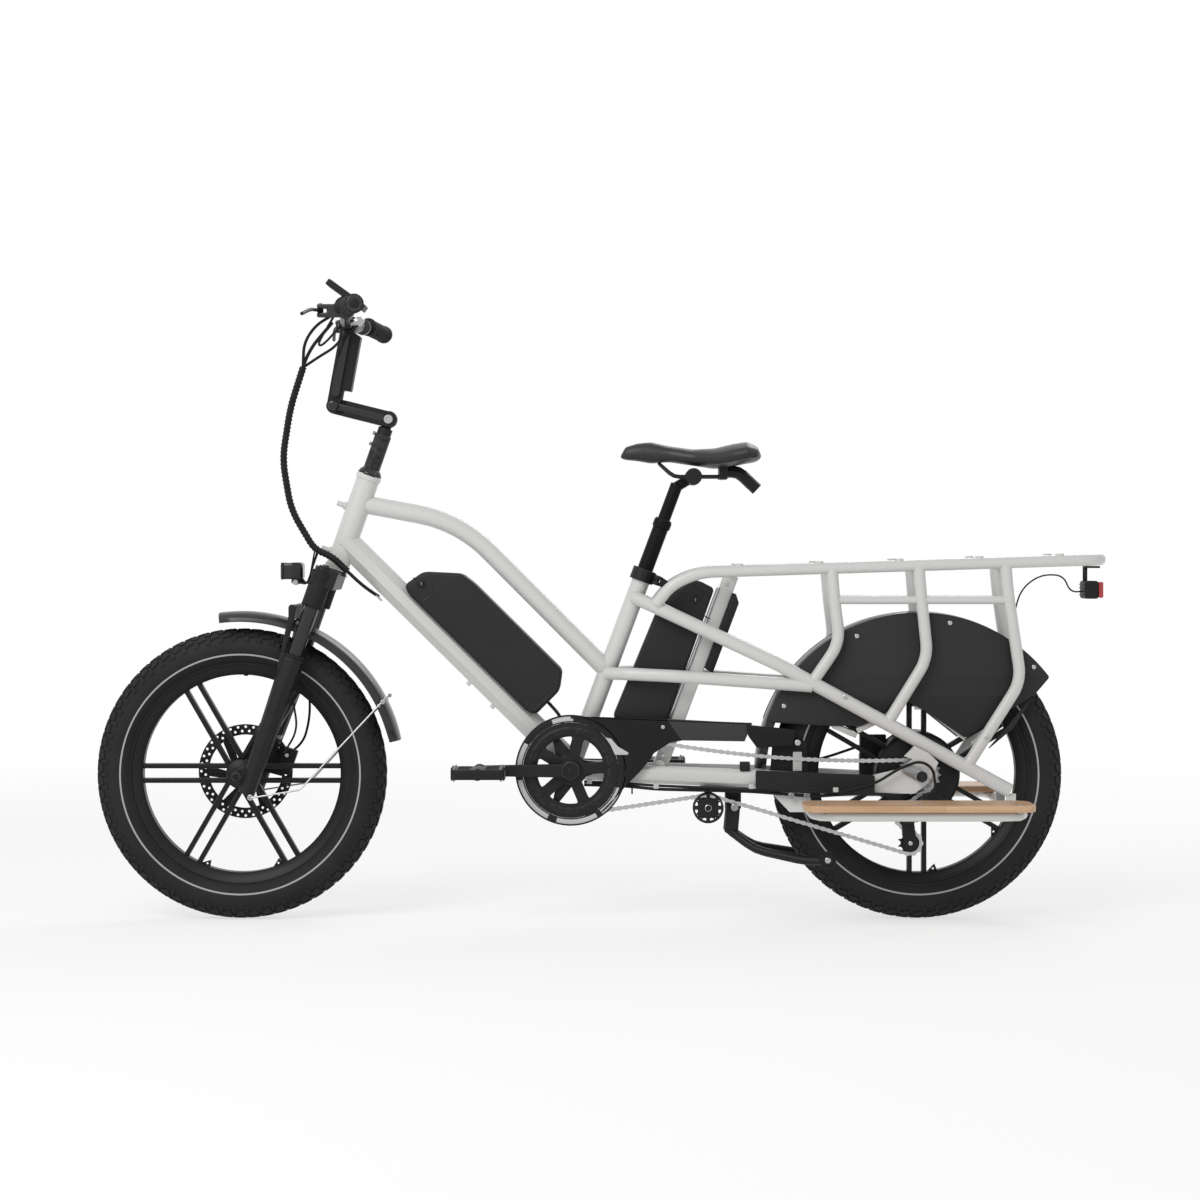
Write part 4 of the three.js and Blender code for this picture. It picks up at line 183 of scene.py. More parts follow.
floor_paint = bpy.data.materials.new("floor_white")
floor_paint.use_nodes = True
floor.data.materials.append(floor_paint)
tree = floor_paint.node_tree
tree.nodes.clear()
place = add_node(tree, "TexCoord").outputs["Object"]
reach = add_node(tree, "VectorMath", {0: place}, operation="LENGTH").outputs["Value"]
fade = add_node(tree, "MapRange", {
    "Value": reach, "From Min": floor_fade_start, "From Max": floor_fade_end, "To Min": floor_glow},
    interpolation_type="SMOOTHSTEP")
matt = add_node(tree, "BsdfDiffuse", {"Color": (0.9, 0.9, 0.9, 1)})
glow = add_node(tree, "Emission", {"Color": white})
both = add_node(tree, "MixShader", {"Fac": fade.outputs["Result"], 1: matt.outputs[0], 2: glow.outputs[0]})
add_node(tree, "OutputMaterial", {"Surface": both.outputs[0]})

# %% [markdown]
# ## Effects that several finishes share
# Grain, dust and edge wear turn up on many parts at different strengths. Each is a node group,
# built once, that puts out only colours, values and normals, so a material places it and sets
# its own amounts.


# %% Group builder
def new_group(name, inputs, outputs):
    group = bpy.data.node_groups.new(name, "ShaderNodeTree")
    group.interface.new_socket("Vector", in_out="INPUT", socket_type="NodeSocketVector")
    for label, kind, value in inputs:
        socket = group.interface.new_socket(label, in_out="INPUT", socket_type="NodeSocket" + kind)
        socket.default_value = value
    for label, kind in outputs:
        group.interface.new_socket(label, in_out="OUTPUT", socket_type="NodeSocket" + kind)
    return group, group.nodes.new("NodeGroupInput").outputs, group.nodes.new("NodeGroupOutput").inputs


def tinted(tree, first, second, start, finish, tint):
    """Mixes the group's colour with a tint where both values are high, by the group's amount."""
    both = math_node(tree, "MULTIPLY", first, second)
    mask = math_node(tree, "MULTIPLY", both, start["Amount"], clamp=True)
    blend = add_node(tree, "Mix", {"Factor": mask, "A": start["Color"], "B": start[tint]}, data_type="RGBA")
    fill(tree, finish["Color"], blend.outputs["Result"])
    fill(tree, finish["Mask"], mask)


# %% Grain: fine bumps, and a roughness that drifts over the surface
grain, start, finish = new_group(
    "grain",
    [("Scale", "Float", 900.0), ("Height", "Float", 0.1), ("Roughness", "Float", 0.5),
     ("Drift", "Float", 0.08)],
    [("Roughness", "Float"), ("Normal", "Vector")])
fine = noise(grain, start["Vector"], start["Scale"], 2.0)
broad = noise(grain, start["Vector"], 9.0, 4.0)
bump = add_node(grain, "Bump", {"Distance": 0.0006, "Strength": start["Height"], "Height": fine})
drift = math_node(grain, "MULTIPLY", math_node(grain, "SUBTRACT", broad, 0.5), start["Drift"])
drift = math_node(grain, "MULTIPLY", drift, 3.0)
fill(grain, finish["Roughness"], math_node(grain, "ADD", start["Roughness"], drift, clamp=True))
fill(grain, finish["Normal"], bump.outputs["Normal"])

# %% Dust: pale, on faces that look up, and patchy
dust, start, finish = new_group(
    "dust",
    [("Color", "Color", (0.5, 0.5, 0.5, 1)), ("Dust", "Color", (0.42, 0.40, 0.37, 1)),
     ("Amount", "Float", 0.1)],
    [("Color", "Color"), ("Mask", "Float")])
facing = add_node(dust, "NewGeometry").outputs["Normal"]
height = add_node(dust, "SeparateXYZ", {0: facing}).outputs["Z"]
upward = math_node(dust, "ADD", math_node(dust, "MULTIPLY", height, 0.45), 0.55, clamp=True)
patches = math_node(dust, "MULTIPLY", noise(dust, start["Vector"], 14.0, 6.0), 1.6, clamp=True)
tinted(dust, upward, patches, start, finish, "Dust")

# %% Edge wear: bare metal where a corner sticks out
wear, start, finish = new_group(
    "edge_wear",
    [("Color", "Color", (0.5, 0.5, 0.5, 1)), ("Bare", "Color", (0.5, 0.5, 0.52, 1)),
     ("Amount", "Float", 0.5)],
    [("Color", "Color"), ("Mask", "Float")])


def above(value, level, slope):
    """How far a value rises over a level, made steeper and kept from 0 to 1."""
    return math_node(wear, "MULTIPLY", math_node(wear, "SUBTRACT", value, level), slope, clamp=True)


sharp = above(add_node(wear, "NewGeometry").outputs["Pointiness"], 0.53, 14.0)
broken = above(noise(wear, start["Vector"], 120.0, 5.0), 0.42, 6.0)
tinted(wear, sharp, broken, start, finish, "Bare")

# %% [markdown]
# ## Finishes
# A finish is one material: a Principled shader with the colour read from the photograph, the
# grain group on its roughness and normal, and dust or wear where the real part has them.

# %% Finish builder
bare_metal = "#8a8a8c"


def colour(text):
    """A colour written as in a paint program, as the linear values that the shader wants."""
    parts = [int(text[i:i + 2], 16) / 255 for i in (1, 3, 5)]
    return tuple(c / 12.92 if c <= 0.04045 else ((c + 0.055) / 1.055) ** 2.4 for c in parts) + (1.0,)


def new_material(name):
    material = bpy.data.materials.new("finish_" + name)
    material.use_nodes = True
    tree = material.node_tree
    return material, tree, add_node(tree, "TexCoord").outputs["Object"]


def grained(tree, where, shader, scale, height, roughness, drift=0.08):
    values = {"Vector": where, "Scale": scale, "Height": height, "Roughness": roughness, "Drift": drift}
    surface = add_node(tree, "Group", values, node_tree=grain).outputs
    for key in ("Roughness", "Normal"):
        fill(tree, shader.inputs[key], surface[key])


def make_finish(name, paint, roughness, metallic=0.0, scale=900.0, height=0.1, drift=0.08,
                dusty=0.02, worn=0.0, coat=0.0, shine=0.22):
    material, tree, where = new_material(name)
    shader = tree.nodes["Principled BSDF"]
    grained(tree, where, shader, scale, height, roughness, drift)
    values = {"Vector": where, "Color": colour(paint), "Amount": dusty}
    shown = add_node(tree, "Group", values, node_tree=dust).outputs["Color"]
    if worn:
        values = {"Vector": where, "Color": shown, "Bare": colour(bare_metal), "Amount": worn}
        shown = add_node(tree, "Group", values, node_tree=wear).outputs["Color"]
    for key, value in (("Metallic", metallic), ("Coat Weight", coat), ("Specular IOR Level", shine),
                       ("Base Color", shown)):
        fill(tree, shader.inputs[key], value)
    return material


# %% The finishes
white_paint = make_finish(
    "white_paint", "#c9c9c7", 0.36, 0, 300, 0.01, dusty=0.05, coat=0.2, shine=0.4)
black_coat = make_finish("black_coat", "#121213", 0.4, 0, 1500, 0.12, worn=0.12)
black_cast = make_finish("black_cast", "#141415", 0.46, 0, 1100, 0.2, worn=0.15)
rim_black = make_finish("rim_black", "#101011", 0.42, 0, 1400, 0.08)
gloss_black = make_finish("gloss_black", "#0d0d0e", 0.16, 0, 1400, 0.02, shine=0.5)
black_plastic = make_finish("black_plastic", "#131313", 0.52, 0, 1700, 0.16)
fender_black = make_finish(
    "fender_black", "#161617", 0.33, 0, 1200, 0.06, coat=0.12, shine=0.4)
case_grey = make_finish("case_grey", "#1d1d1e", 0.5, 0, 1600, 0.14)
skirt_grey = make_finish("skirt_grey", "#242425", 0.52, 0, 1300, 0.1)
rubber = make_finish("rubber", "#121213", 0.7, 0, 700, 0.25, dusty=0.04)
soft_rubber = make_finish("soft_rubber", "#121212", 0.66, 0, 900, 0.22)
stripe = make_finish("stripe", "#a2a2a2", 0.5, 0, 1500, 0.1)
steel = make_finish("steel", "#8e8e90", 0.34, 0.9, 1200, 0.06, 0.2)
chain_steel = make_finish("chain_steel", "#b4b4b6", 0.4, 0.8, 1200, 0.1, 0.2)
# The brake discs' steel gets a near-black colour: painted shade, for discs that get little light.
disc_steel_painted_shade = make_finish("disc_steel_painted_shade", "#202022", 0.35, 0.7, 1600, 0.08, 0.15)
bolt_silver = make_finish("bolt_silver", "#b0b0b2", 0.28, 0.95, 900, 0.05, 0.1)
pale_plastic = make_finish("pale_plastic", "#b9b9b7", 0.45, 0, 1200, 0.08, shine=0.4)
saddle_cover = make_finish("saddle_cover", "#191919", 0.44, 0, 520, 0.4, 0.12, shine=0.4)
screen_black = make_finish(
    "screen_black", "#0a0a0b", 0.12, height=0.0, coat=0.3, shine=0.5)
smoky = make_finish("smoky", "#39393a", 0.3, 0, 1400, 0.05, shine=0.15)
guard_black = make_finish("guard_black", "#151515", 0.5, 0, 1700, 0.12, shine=0.14)
post_black = make_finish("post_black", "#0b0b0c", 0.4, 0, 1500, 0.05, shine=0.08)
bar_black = make_finish("bar_black", "#222223", 0.3, 0, 1500, 0.05, shine=0.4)
lens_red = make_finish("lens_red", "#a5161a", 0.18, 0, 260, 0.35, dusty=0.0, coat=0.6, shine=0.5)
lens_clear = make_finish(
    "lens_clear", "#b9bcbf", 0.1, 0.3, 300, 0.5, dusty=0.0, coat=0.8, shine=0.5)

# %% Bamboo: long pale fibres and glued strips
bamboo, tree, where = new_material("bamboo")
stretched = add_node(tree, "Mapping", {"Vector": where, "Scale": (3.0, 62.0, 40.0)}).outputs[0]
strips = add_node(tree, "TexBrick", {
    "Vector": where, "Scale": 1.0, "Mortar Size": 0.0006, "Brick Width": 0.31, "Row Height": 0.021,
    "Color1": (0.35, 0.35, 0.35, 1), "Color2": (0.7, 0.7, 0.7, 1), "Mortar": (0.1, 0.1, 0.1, 1)})
fibres = noise(tree, stretched, 3.0, 8.0, 0.5)
tone = add_node(tree, "Mix", {"Factor": 0.42, "A": fibres, "B": strips.outputs["Color"]}, data_type="FLOAT")
ramp = add_node(tree, "ValToRGB", {"Fac": tone.outputs[0]})
for stop, position, paint in zip(ramp.color_ramp.elements, (0.22, 0.75), ("#a57b57", "#d3b18e")):
    stop.position = position
    stop.color = colour(paint)
shader = tree.nodes["Principled BSDF"]
fill(tree, shader.inputs["Base Color"], ramp.outputs["Color"])
grained(tree, where, shader, 600, 0.08, 0.42)

# %% [markdown]
# ## Tools for shaping pieces
# A few short helpers cover most of the bike: a turned piece for what came off a lathe, a flat
# plate for what was cut from sheet, a tube along a bent path, a box with soft edges, and a fine
# copy of a solid whose shape is right already.


# %% Places and paths
def at(x, y, z):
    """A point from millimetres."""
    return Vector((x, y, z)) * MM


def way(*corners):
    return [at(*corner) for corner in corners]


def box_mm(node):
    return [Vector(corner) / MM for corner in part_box(node)]


def middle(node):
    low, high = (Vector(corner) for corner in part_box(node))
    return (low + high) / 2


def cut_corner(before, corner, after, reach_in, reach_out, steps):
    """Points of the curve that cuts a corner, from its reach on one side to that on the other."""
    start = corner + (before - corner).normalized() * reach_in
    end = corner + (after - corner).normalized() * reach_out
    shares = [i / steps for i in range(steps + 1)]
    return [start * (1 - t) ** 2 + corner * 2 * t * (1 - t) + end * t * t for t in shares]


def bent(corners, bend, steps=8):
    """Straight runs joined by curves that start `bend` before each corner."""
    points = [corners[0]]
    for before, corner, after in zip(corners, corners[1:], corners[2:]):
        reach = min(bend, (corner - before).length / 2, (after - corner).length / 2)
        points += cut_corner(before, corner, after, reach, reach, steps)
    return points + [corners[-1]]


def evenly(points, count):
    """The same path cut into equal runs, and its length."""
    lengths = [0.0]
    for a, b in zip(points, points[1:]):
        lengths.append(lengths[-1] + (b - a).length)
    result = []
    k = 0
    for i in range(count + 1):
        target = lengths[-1] * i / count
        while k < len(points) - 2 and lengths[k + 1] < target:
            k += 1
        share = (target - lengths[k]) / max(lengths[k + 1] - lengths[k], 1e-9)
        result.append(points[k].lerp(points[k + 1], share))
    return result, lengths[-1]


# %% Outlines, as (x, z) pairs in millimetres
def polar(x, z, radius, angle):
    return x + radius * cos(angle), z + radius * sin(angle)


def circle(x, z, radius, count=24):
    return [polar(x, z, radius, 2 * pi * i / count) for i in range(count)]


def arc(x, z, radius, start, end, steps=48):
    """Points of an arc in degrees, from +X towards +Z."""
    return [polar(x, z, radius, radians(start + (end - start) * i / steps)) for i in range(steps + 1)]


def soft_loop(loop, bend, steps=5):
    """A closed outline with its corners rounded off."""
    result = []
    corners = [Vector(corner) for corner in loop]
    for before, here, after in zip(corners[-1:] + corners, corners, corners[1:] + corners[:1]):
        reaches = min(bend, (here - before).length / 2), min(bend, (after - here).length / 2)
        result += [(spot.x, spot.y) for spot in cut_corner(before, here, after, *reaches, steps)]
    return result


def capsule(p, q, radius, steps=8):
    """The outline round two equal circles."""
    a = atan2(q[1] - p[1], q[0] - p[0])
    ends = ((q, a - pi / 2), (p, a + pi / 2))
    return [polar(*centre, radius, b + pi * k / steps) for centre, b in ends for k in range(steps + 1)]


def gear(x, z, pitch, teeth, tall=4.4, turn=0.0):
    """A sprocket's outline."""
    shape = ((-0.34, -0.5), (-0.22, -0.3), (-0.08, 0.5), (0.08, 0.5), (0.22, -0.3), (0.34, -0.5))
    return [polar(x, z, pitch + tall * rise, 2 * pi * (i + share) / teeth + turn)
            for i in range(teeth) for share, rise in shape]


# %% From a mesh to a piece
def settle(piece, body, paint, sharp=38, stands_for=()):
    """Gives a piece its finish and its shading, and puts it under its body; given a joint's tuple instead,
    it only bakes the piece's place into its mesh.
    """
    mesh = piece.data
    mesh.materials.clear()
    mesh.materials.append(paint)
    mesh.shade_smooth()
    mesh.set_sharp_from_angle(angle=radians(sharp))
    if isinstance(body, tuple):
        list(body)
        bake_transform(piece)
    else:
        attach(piece, body)
    if stands_for:
        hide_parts(*stands_for)
    return piece


def from_bmesh(name, bm, body, paint, sharp=38, stands_for=()):
    bmesh.ops.remove_doubles(bm, verts=bm.verts, dist=1e-6)
    bmesh.ops.recalc_face_normals(bm, faces=bm.faces)
    return settle(linked(name, mesh_from(name, bm)), body, paint, sharp, stands_for)


def add_into(bm, other):
    """Adds a second mesh to the first, and frees it."""
    mesh = mesh_from("part", other)
    bm.from_mesh(mesh)
    bpy.data.meshes.remove(mesh)


def baked(source, matrix=None):
    """The mesh of a curve or of an object with modifiers; the source is removed."""
    bpy.context.view_layer.update()
    graph = bpy.context.evaluated_depsgraph_get()
    mesh = bpy.data.meshes.new_from_object(source.evaluated_get(graph))
    bpy.data.objects.remove(source)
    bm = bmesh.new()
    bm.from_mesh(mesh)
    bpy.data.meshes.remove(mesh)
    if matrix:
        bmesh.ops.transform(bm, matrix=matrix, verts=bm.verts)
    return bm


# %% Copies of a solid
def solid_mesh(node, merge_faces=True):
    bm = bmesh.new()
    bm.from_mesh(frame["nodes"][node].data)
    bmesh.ops.remove_doubles(bm, verts=bm.verts, dist=1e-5)
    if merge_faces:
        bmesh.ops.dissolve_limit(bm, angle_limit=radians(0.5), verts=bm.verts, edges=bm.edges)
    return bm


def side_outline(node, sign=-1):
    """The outline of a solid's largest side face, as (x, z) millimetres."""
    bm = solid_mesh(node)
    flat = [face for face in bm.faces if face.normal.y * sign > 0.9]
    largest = max(flat, key=lambda face: face.calc_area())
    loop = [(vert.co.x / MM, vert.co.z / MM) for vert in largest.verts]
    bm.free()
    return loop


def fine_copy(node, paint, edge=0.8, segments=2, sharp=40, soften=48):
    """The node's own shape with merged faces and rounded edges."""
    piece = linked(node + "_fine", mesh_from(node + "_fine", solid_mesh(node)))
    settle(piece, body_of_node[node], paint, sharp, (node,))
    round_off = piece.modifiers.new("edges", "BEVEL")
    round_off.width = edge * MM
    round_off.segments = segments
    round_off.limit_method = "ANGLE"
    round_off.angle_limit = radians(soften)
    round_off.use_clamp_overlap = True
    round_off.harden_normals = True


def cast_copy(node, paint, voxel=2.0, passes=4):
    """For cast and forged parts: corners melt and joints get fillets, at the voxel's size."""
    rough = linked("rough", mesh_from("rough", solid_mesh(node, False)))
    remesh = rough.modifiers.new("skin", "REMESH")
    remesh.mode = "VOXEL"
    remesh.voxel_size = voxel * MM
    relax = rough.modifiers.new("relax", "SMOOTH")
    relax.factor = 0.5
    relax.iterations = passes
    return from_bmesh(node + "_cast", baked(rough), body_of_node[node], paint, 60, (node,))


# %% A tube along a bent path
def spline_into(curve, places, closed):
    """Adds straight runs between places; a place holds the four numbers of a curve's knot."""
    spline = curve.splines.new("POLY")
    spline.points.add(len(places) - 1)
    spline.use_cyclic_u = closed
    for knot, place in zip(spline.points, places):
        knot.co = place


def tube(name, corners, radius, body, paint, bend=0.0, sides=20, stands_for=()):
    points = bent(corners, bend * MM) if bend else corners
    curve = bpy.data.curves.new(name, "CURVE")
    curve.dimensions = "3D"
    curve.bevel_depth = radius * MM
    curve.bevel_resolution = max(0, sides // 2 - 2)
    curve.use_fill_caps = True
    spline_into(curve, [(*place, 1) for place in points], False)
    from_bmesh(name, baked(linked(name, curve)), body, paint, 50, stands_for)


# %% A plate cut from sheet
def plate_mesh(loops, y0, y1, edge=0.3, rounds=1):
    """Outlines of (x, z) millimetres, filled with their holes, from y0 to y1."""
    curve = bpy.data.curves.new("sheet", "CURVE")
    curve.dimensions = "2D"
    curve.fill_mode = "BOTH"
    edge = min(edge, (y1 - y0) * 0.45)
    curve.extrude = ((y1 - y0) / 2 - edge) * MM
    curve.bevel_depth = edge * MM
    curve.bevel_resolution = rounds
    curve.offset = -edge * MM
    for loop in loops:
        spline_into(curve, [(x * MM, z * MM, 0, 1) for x, z in loop], True)
    upright = Matrix.Translation(at(0, (y0 + y1) / 2, 0)) @ Matrix.Rotation(pi / 2, 4, "X")
    return baked(linked("sheet", curve), upright)


def plate(name, loops, y0, y1, body, paint, edge=0.3, stands_for=(), rounds=1):
    from_bmesh(name, plate_mesh(loops, y0, y1, edge, rounds), body, paint, 40, stands_for)


def from_above(loops, z0, z1, edge, rounds):
    """A flat plate like plate_mesh, but lying down: outlines of (x, -y) millimetres."""
    bm = plate_mesh(loops, z0, z1, edge, rounds)
    bmesh.ops.rotate(bm, cent=(0, 0, 0), matrix=Matrix.Rotation(pi / 2, 3, "X"), verts=bm.verts)
    return bm


# %% A turned piece about a sideways axis
def profile_into(bm, profile, closed=True):
    """A line of edges through (radius, y) millimetres."""
    corners = [bm.verts.new((radius * MM, y * MM, 0)) for radius, y in profile]
    pairs = zip(corners, corners[1:] + corners[:1] if closed else corners[1:])
    return corners + [bm.edges.new(pair) for pair in pairs]


def turned_mesh(profile, centre, steps=96, closed=True):
    """The profile closes on itself or ends on the axis."""
    bm = bmesh.new()
    bmesh.ops.spin(bm, geom=profile_into(bm, profile, closed), cent=(0, 0, 0), axis=(0, 1, 0),
                   dvec=(0, 0, 0), angle=2 * pi, steps=steps, use_merge=True, use_duplicate=False)
    bmesh.ops.translate(bm, vec=(centre.x, 0, centre.z), verts=bm.verts)
    return bm


def turned(name, profile, centre, body, paint, steps=96, closed=True, sharp=38, stands_for=()):
    from_bmesh(name, turned_mesh(profile, centre, steps, closed), body, paint, sharp, stands_for)


def mirrored(half):
    """A half profile, and the same on the other side of the middle plane."""
    return half + [(radius, -y) for radius, y in reversed(half)]


def set_round(bm, centre, angle):
    """Turns a mesh about the sideways axis, in radians, and moves it out to a wheel's centre."""
    bmesh.ops.rotate(bm, cent=(0, 0, 0), matrix=Matrix.Rotation(angle, 3, "Y"), verts=bm.verts)
    bmesh.ops.translate(bm, vec=(centre.x, 0, centre.z), verts=bm.verts)


def repeat_round(bm, centre, count):
    """Copies all of a mesh round a sideways axis."""
    everything = bm.verts[:] + bm.edges[:] + bm.faces[:]
    bmesh.ops.spin(bm, geom=everything, cent=(centre.x, 0, centre.z), axis=(0, 1, 0), dvec=(0, 0, 0),
                   angle=2 * pi, steps=count, use_duplicate=True, use_merge=False)
    bmesh.ops.delete(bm, geom=everything, context="VERTS")


# %% Blocks and bars
def turn_to(direction, place):
    """A matrix whose Z axis lies along a direction."""
    return Matrix.Translation(place) @ Vector(direction).to_track_quat("Z", "Y").to_matrix().to_4x4()


def soften_edges(bm, edges, width, segments):
    return bmesh.ops.bevel(bm, geom=list(edges), offset=width * MM, segments=segments, profile=0.5,
                           affect="EDGES", clamp_overlap=True, material=-1)["faces"]


def block_into(bm, size, matrix, edge, segments):
    """Adds a box of size millimetres with rounded edges, placed by a matrix in metres."""
    made = bmesh.ops.create_cube(bm, size=1.0)["verts"]
    bmesh.ops.scale(bm, vec=Vector(size) * MM, verts=made)
    faces = soften_edges(bm, {e for v in made for e in v.link_edges}, edge, segments)
    made = list({v for f in faces for v in f.verts} | {v for v in made if v.is_valid})
    bmesh.ops.transform(bm, matrix=matrix, verts=made)


def stood(place, lean=0.0):
    """A matrix that stands at a place in millimetres, turned about the sideways axis by degrees."""
    return Matrix.Translation(at(*place)) @ Matrix.Rotation(radians(lean), 4, "Y")


def blocks_mesh(rows):
    """Rows hold (size, place, edge, segments), and may end with a lean in degrees."""
    bm = bmesh.new()
    for size, place, edge, segments, *lean in rows:
        block_into(bm, size, stood(place, *lean), edge, segments)
    return bm


def block(name, size, place, body, paint, edge=1.0, segments=2, lean=0.0):
    from_bmesh(name, blocks_mesh([(size, place, edge, segments, lean)]), body, paint)


def rod_into(bm, a, b, radius, end_radius=None, sides=28, edge=0.6):
    """A round bar from a to b, with its rims rounded; it may taper."""
    made = bmesh.ops.create_cone(
        bm, cap_ends=True, cap_tris=False, segments=sides, radius1=radius * MM,
        radius2=(radius if end_radius is None else end_radius) * MM, depth=(b - a).length)["verts"]
    if edge:
        rims = {e for v in made for e in v.link_edges if any(len(f.verts) > 4 for f in e.link_faces)}
        made = list({v for f in soften_edges(bm, rims, edge, 2) for v in f.verts})
    bmesh.ops.transform(bm, matrix=turn_to(b - a, (a + b) / 2), verts=made)


def rods(name, bars, body, paint, sides=28, edge=0.6, sharp=35):
    """Bars hold (a, b, radius) or (a, b, radius, end radius)."""
    bm = bmesh.new()
    for a, b, radius, *end_radius in bars:
        rod_into(bm, a, b, radius, end_radius[0] if end_radius else None, sides, edge)
    from_bmesh(name, bm, body, paint, sharp)


# %% Bolts
def bolt_into(bm, place, direction, radius, height):
    """A socket-head bolt: a round head with a hexagon sunk into it."""
    made = bmesh.ops.create_circle(bm, cap_ends=True, segments=18, radius=radius * MM)["verts"]
    top = bmesh.ops.extrude_face_region(bm, geom=[made[0].link_faces[0]])["geom"]
    lifted = [v for v in top if isinstance(v, bmesh.types.BMVert)]
    bmesh.ops.translate(bm, vec=(0, 0, height * MM), verts=lifted)
    cap = [f for f in top if isinstance(f, bmesh.types.BMFace)]
    insets = ((radius * 0.16, radius * 0.1), (radius * 0.34, 0.0), (radius * 0.02, -height * 0.6))
    for thickness, depth in insets:
        bmesh.ops.inset_region(bm, faces=cap, thickness=thickness * MM, depth=depth * MM)
    verts = {v for v in made if v.is_valid} | set(lifted)
    stack = list(verts)
    while stack:
        for edge in stack.pop().link_edges:
            for v in edge.verts:
                if v not in verts:
                    verts.add(v)
                    stack.append(v)
    bmesh.ops.transform(bm, matrix=turn_to(direction, place), verts=list(verts))


def bolts(name, rows, body, paint=bolt_silver):
    """Rows hold (point, direction, radius, height)."""
    bm = bmesh.new()
    for row in rows:
        bolt_into(bm, *row)
    from_bmesh(name, bm, body, paint, 30)


def side_bolts(name, rows, body, paint=bolt_silver, signs=(-1, 1)):
    """Bolts that look sideways: rows hold (x, y, z, radius, height), the same on each side."""
    bolts(name, [(at(x, sign * y, z), (0, sign, 0), radius, height)
                 for sign in signs for x, y, z, radius, height in rows], body, paint)


# %% [markdown]
# ## Reference places
# The axles, the bracket and the idler are read from the solids, so the visible pieces round them can't
# drift from what carries them. The head axis is given as a base point and an angle, the seat axis as an
# angle about the bracket.

# %% Reference places
front_axle = middle("front_tyre")
rear_axle = middle("rear_tyre")
bracket = middle("chainring")
idler = middle("idler_pulley")
bx, bz = bracket.x / MM, bracket.z / MM
rx, rz = rear_axle.x / MM, rear_axle.z / MM
ix, iz = idler.x / MM, idler.z / MM
ring_centre = Vector((bracket.x, 0, bracket.z))
head_base = at(-500, 0, 661)
head_angle = radians(19.3)
seat_angle = radians(20.5)
wheels = (("front", front_axle, "wheel_front"), ("rear", rear_axle, "wheel_rear"))


def tilted(origin, angle):
    """A frame in the middle plane: s along the slanted axis, f to the front, y sideways."""
    def place(s, f=0.0, y=0.0):
        return origin + at(sin(angle) * s - cos(angle) * f, y, cos(angle) * s + sin(angle) * f)

    return place


steer = tilted(head_base, head_angle)
seat = tilted(ring_centre, seat_angle)
print("front axle", front_axle[:], "rear axle", rear_axle[:], "bracket", bracket[:])

# %% [markdown]
# ## Tyres
# A fat tyre is a rounded shell that ends in two beads, so it's turned from one cross-section.
# The tread is rows of small rubber blocks. Each row starts as one block on the crown or the
# shoulder and is copied round the axle, which keeps the count of faces low.

# %% Tyres
tread_height = 3.0
tyre_half_width = 37.5
tyre_wall = 4
bead_angle = 150
carcass_radius = 36.0
carcass = front_axle.z / MM - tread_height
tread_count = 66
block_sink = 0.8
shoulder_angle = 50
stripe_radius = 226
# Angle round the section, block size along and across, and its turn
tread_rows = ((-8, 15, 10, 18), (8, 15, 10, -18), (-24, 13, 10, -26), (24, 13, 10, 26),
              (-41, 17, 11, 20), (41, 17, 11, -20), (-57, 9, 12, 0), (57, 9, 12, 0))


def tyre_profile():
    loop = []
    for skin, order in ((0, range(-24, 25)), (tyre_wall, range(24, -25, -1))):
        for i in order:
            a = radians(bead_angle * i / 24)
            reach = carcass - carcass_radius + (carcass_radius - skin) * cos(a)
            loop.append((reach, (tyre_half_width - skin) * sin(a)))
    return loop


def tread(centre):
    whole = bmesh.new()
    for order, (angle, along, across, twist) in enumerate(tread_rows):
        bm = bmesh.new()
        a = radians(angle)
        r = carcass - carcass_radius + carcass_radius * cos(a) - block_sink
        y = tyre_half_width * sin(a)
        high = tread_height * (2 if abs(angle) < shoulder_angle else 1.4)
        lean = Matrix.Rotation(-atan2(y, carcass_radius * cos(a)), 4, "X")
        spot = Matrix.Translation(at(0, y, r)) @ lean @ Matrix.Rotation(radians(twist), 4, "Z")
        block_into(bm, (along, across, high), spot, 0.8, 1)
        set_round(bm, centre, (order // 2 % 2 + order % 2 * 0.5) * pi / tread_count)
        repeat_round(bm, centre, tread_count)
        add_into(whole, bm)
    return whole


stripe_section = ((-1.7, -1.6), (-1.5, 0.35), (1.5, 0.75), (1.8, -1.2))
for side, centre, body in wheels:
    turned(side + "_tyre_shell", tyre_profile(), centre, body, rubber, 144, stands_for=(side + "_tyre",))
    from_bmesh(side + "_tread", tread(centre), body, rubber, 30)
    for sign, label in BOTH_SIDES:
        a = pi / 2 - asin((carcass - carcass_radius - stripe_radius) / carcass_radius)
        y = tyre_half_width * sin(a)
        band = [(stripe_radius + dr, sign * (y + dy)) for dr, dy in stripe_section]
        turned(f"{side}_stripe_{label}", band, centre, body, stripe, 144)
print("tread blocks on each tyre:", tread_count * len(tread_rows))

# %% [markdown]
# ## Cast wheels
# Both wheels are one casting: a deep rim, a hub and six pairs of narrow spokes. The rim and hub
# are turned, and one spoke pair is made as two bars with soft edges and copied round.

# %% Rims and spokes
rim_outer = 212
rim_inner = 187
rim_half = 24
spoke_offset = 13.8
spoke_width = 9
spoke_depth = 19

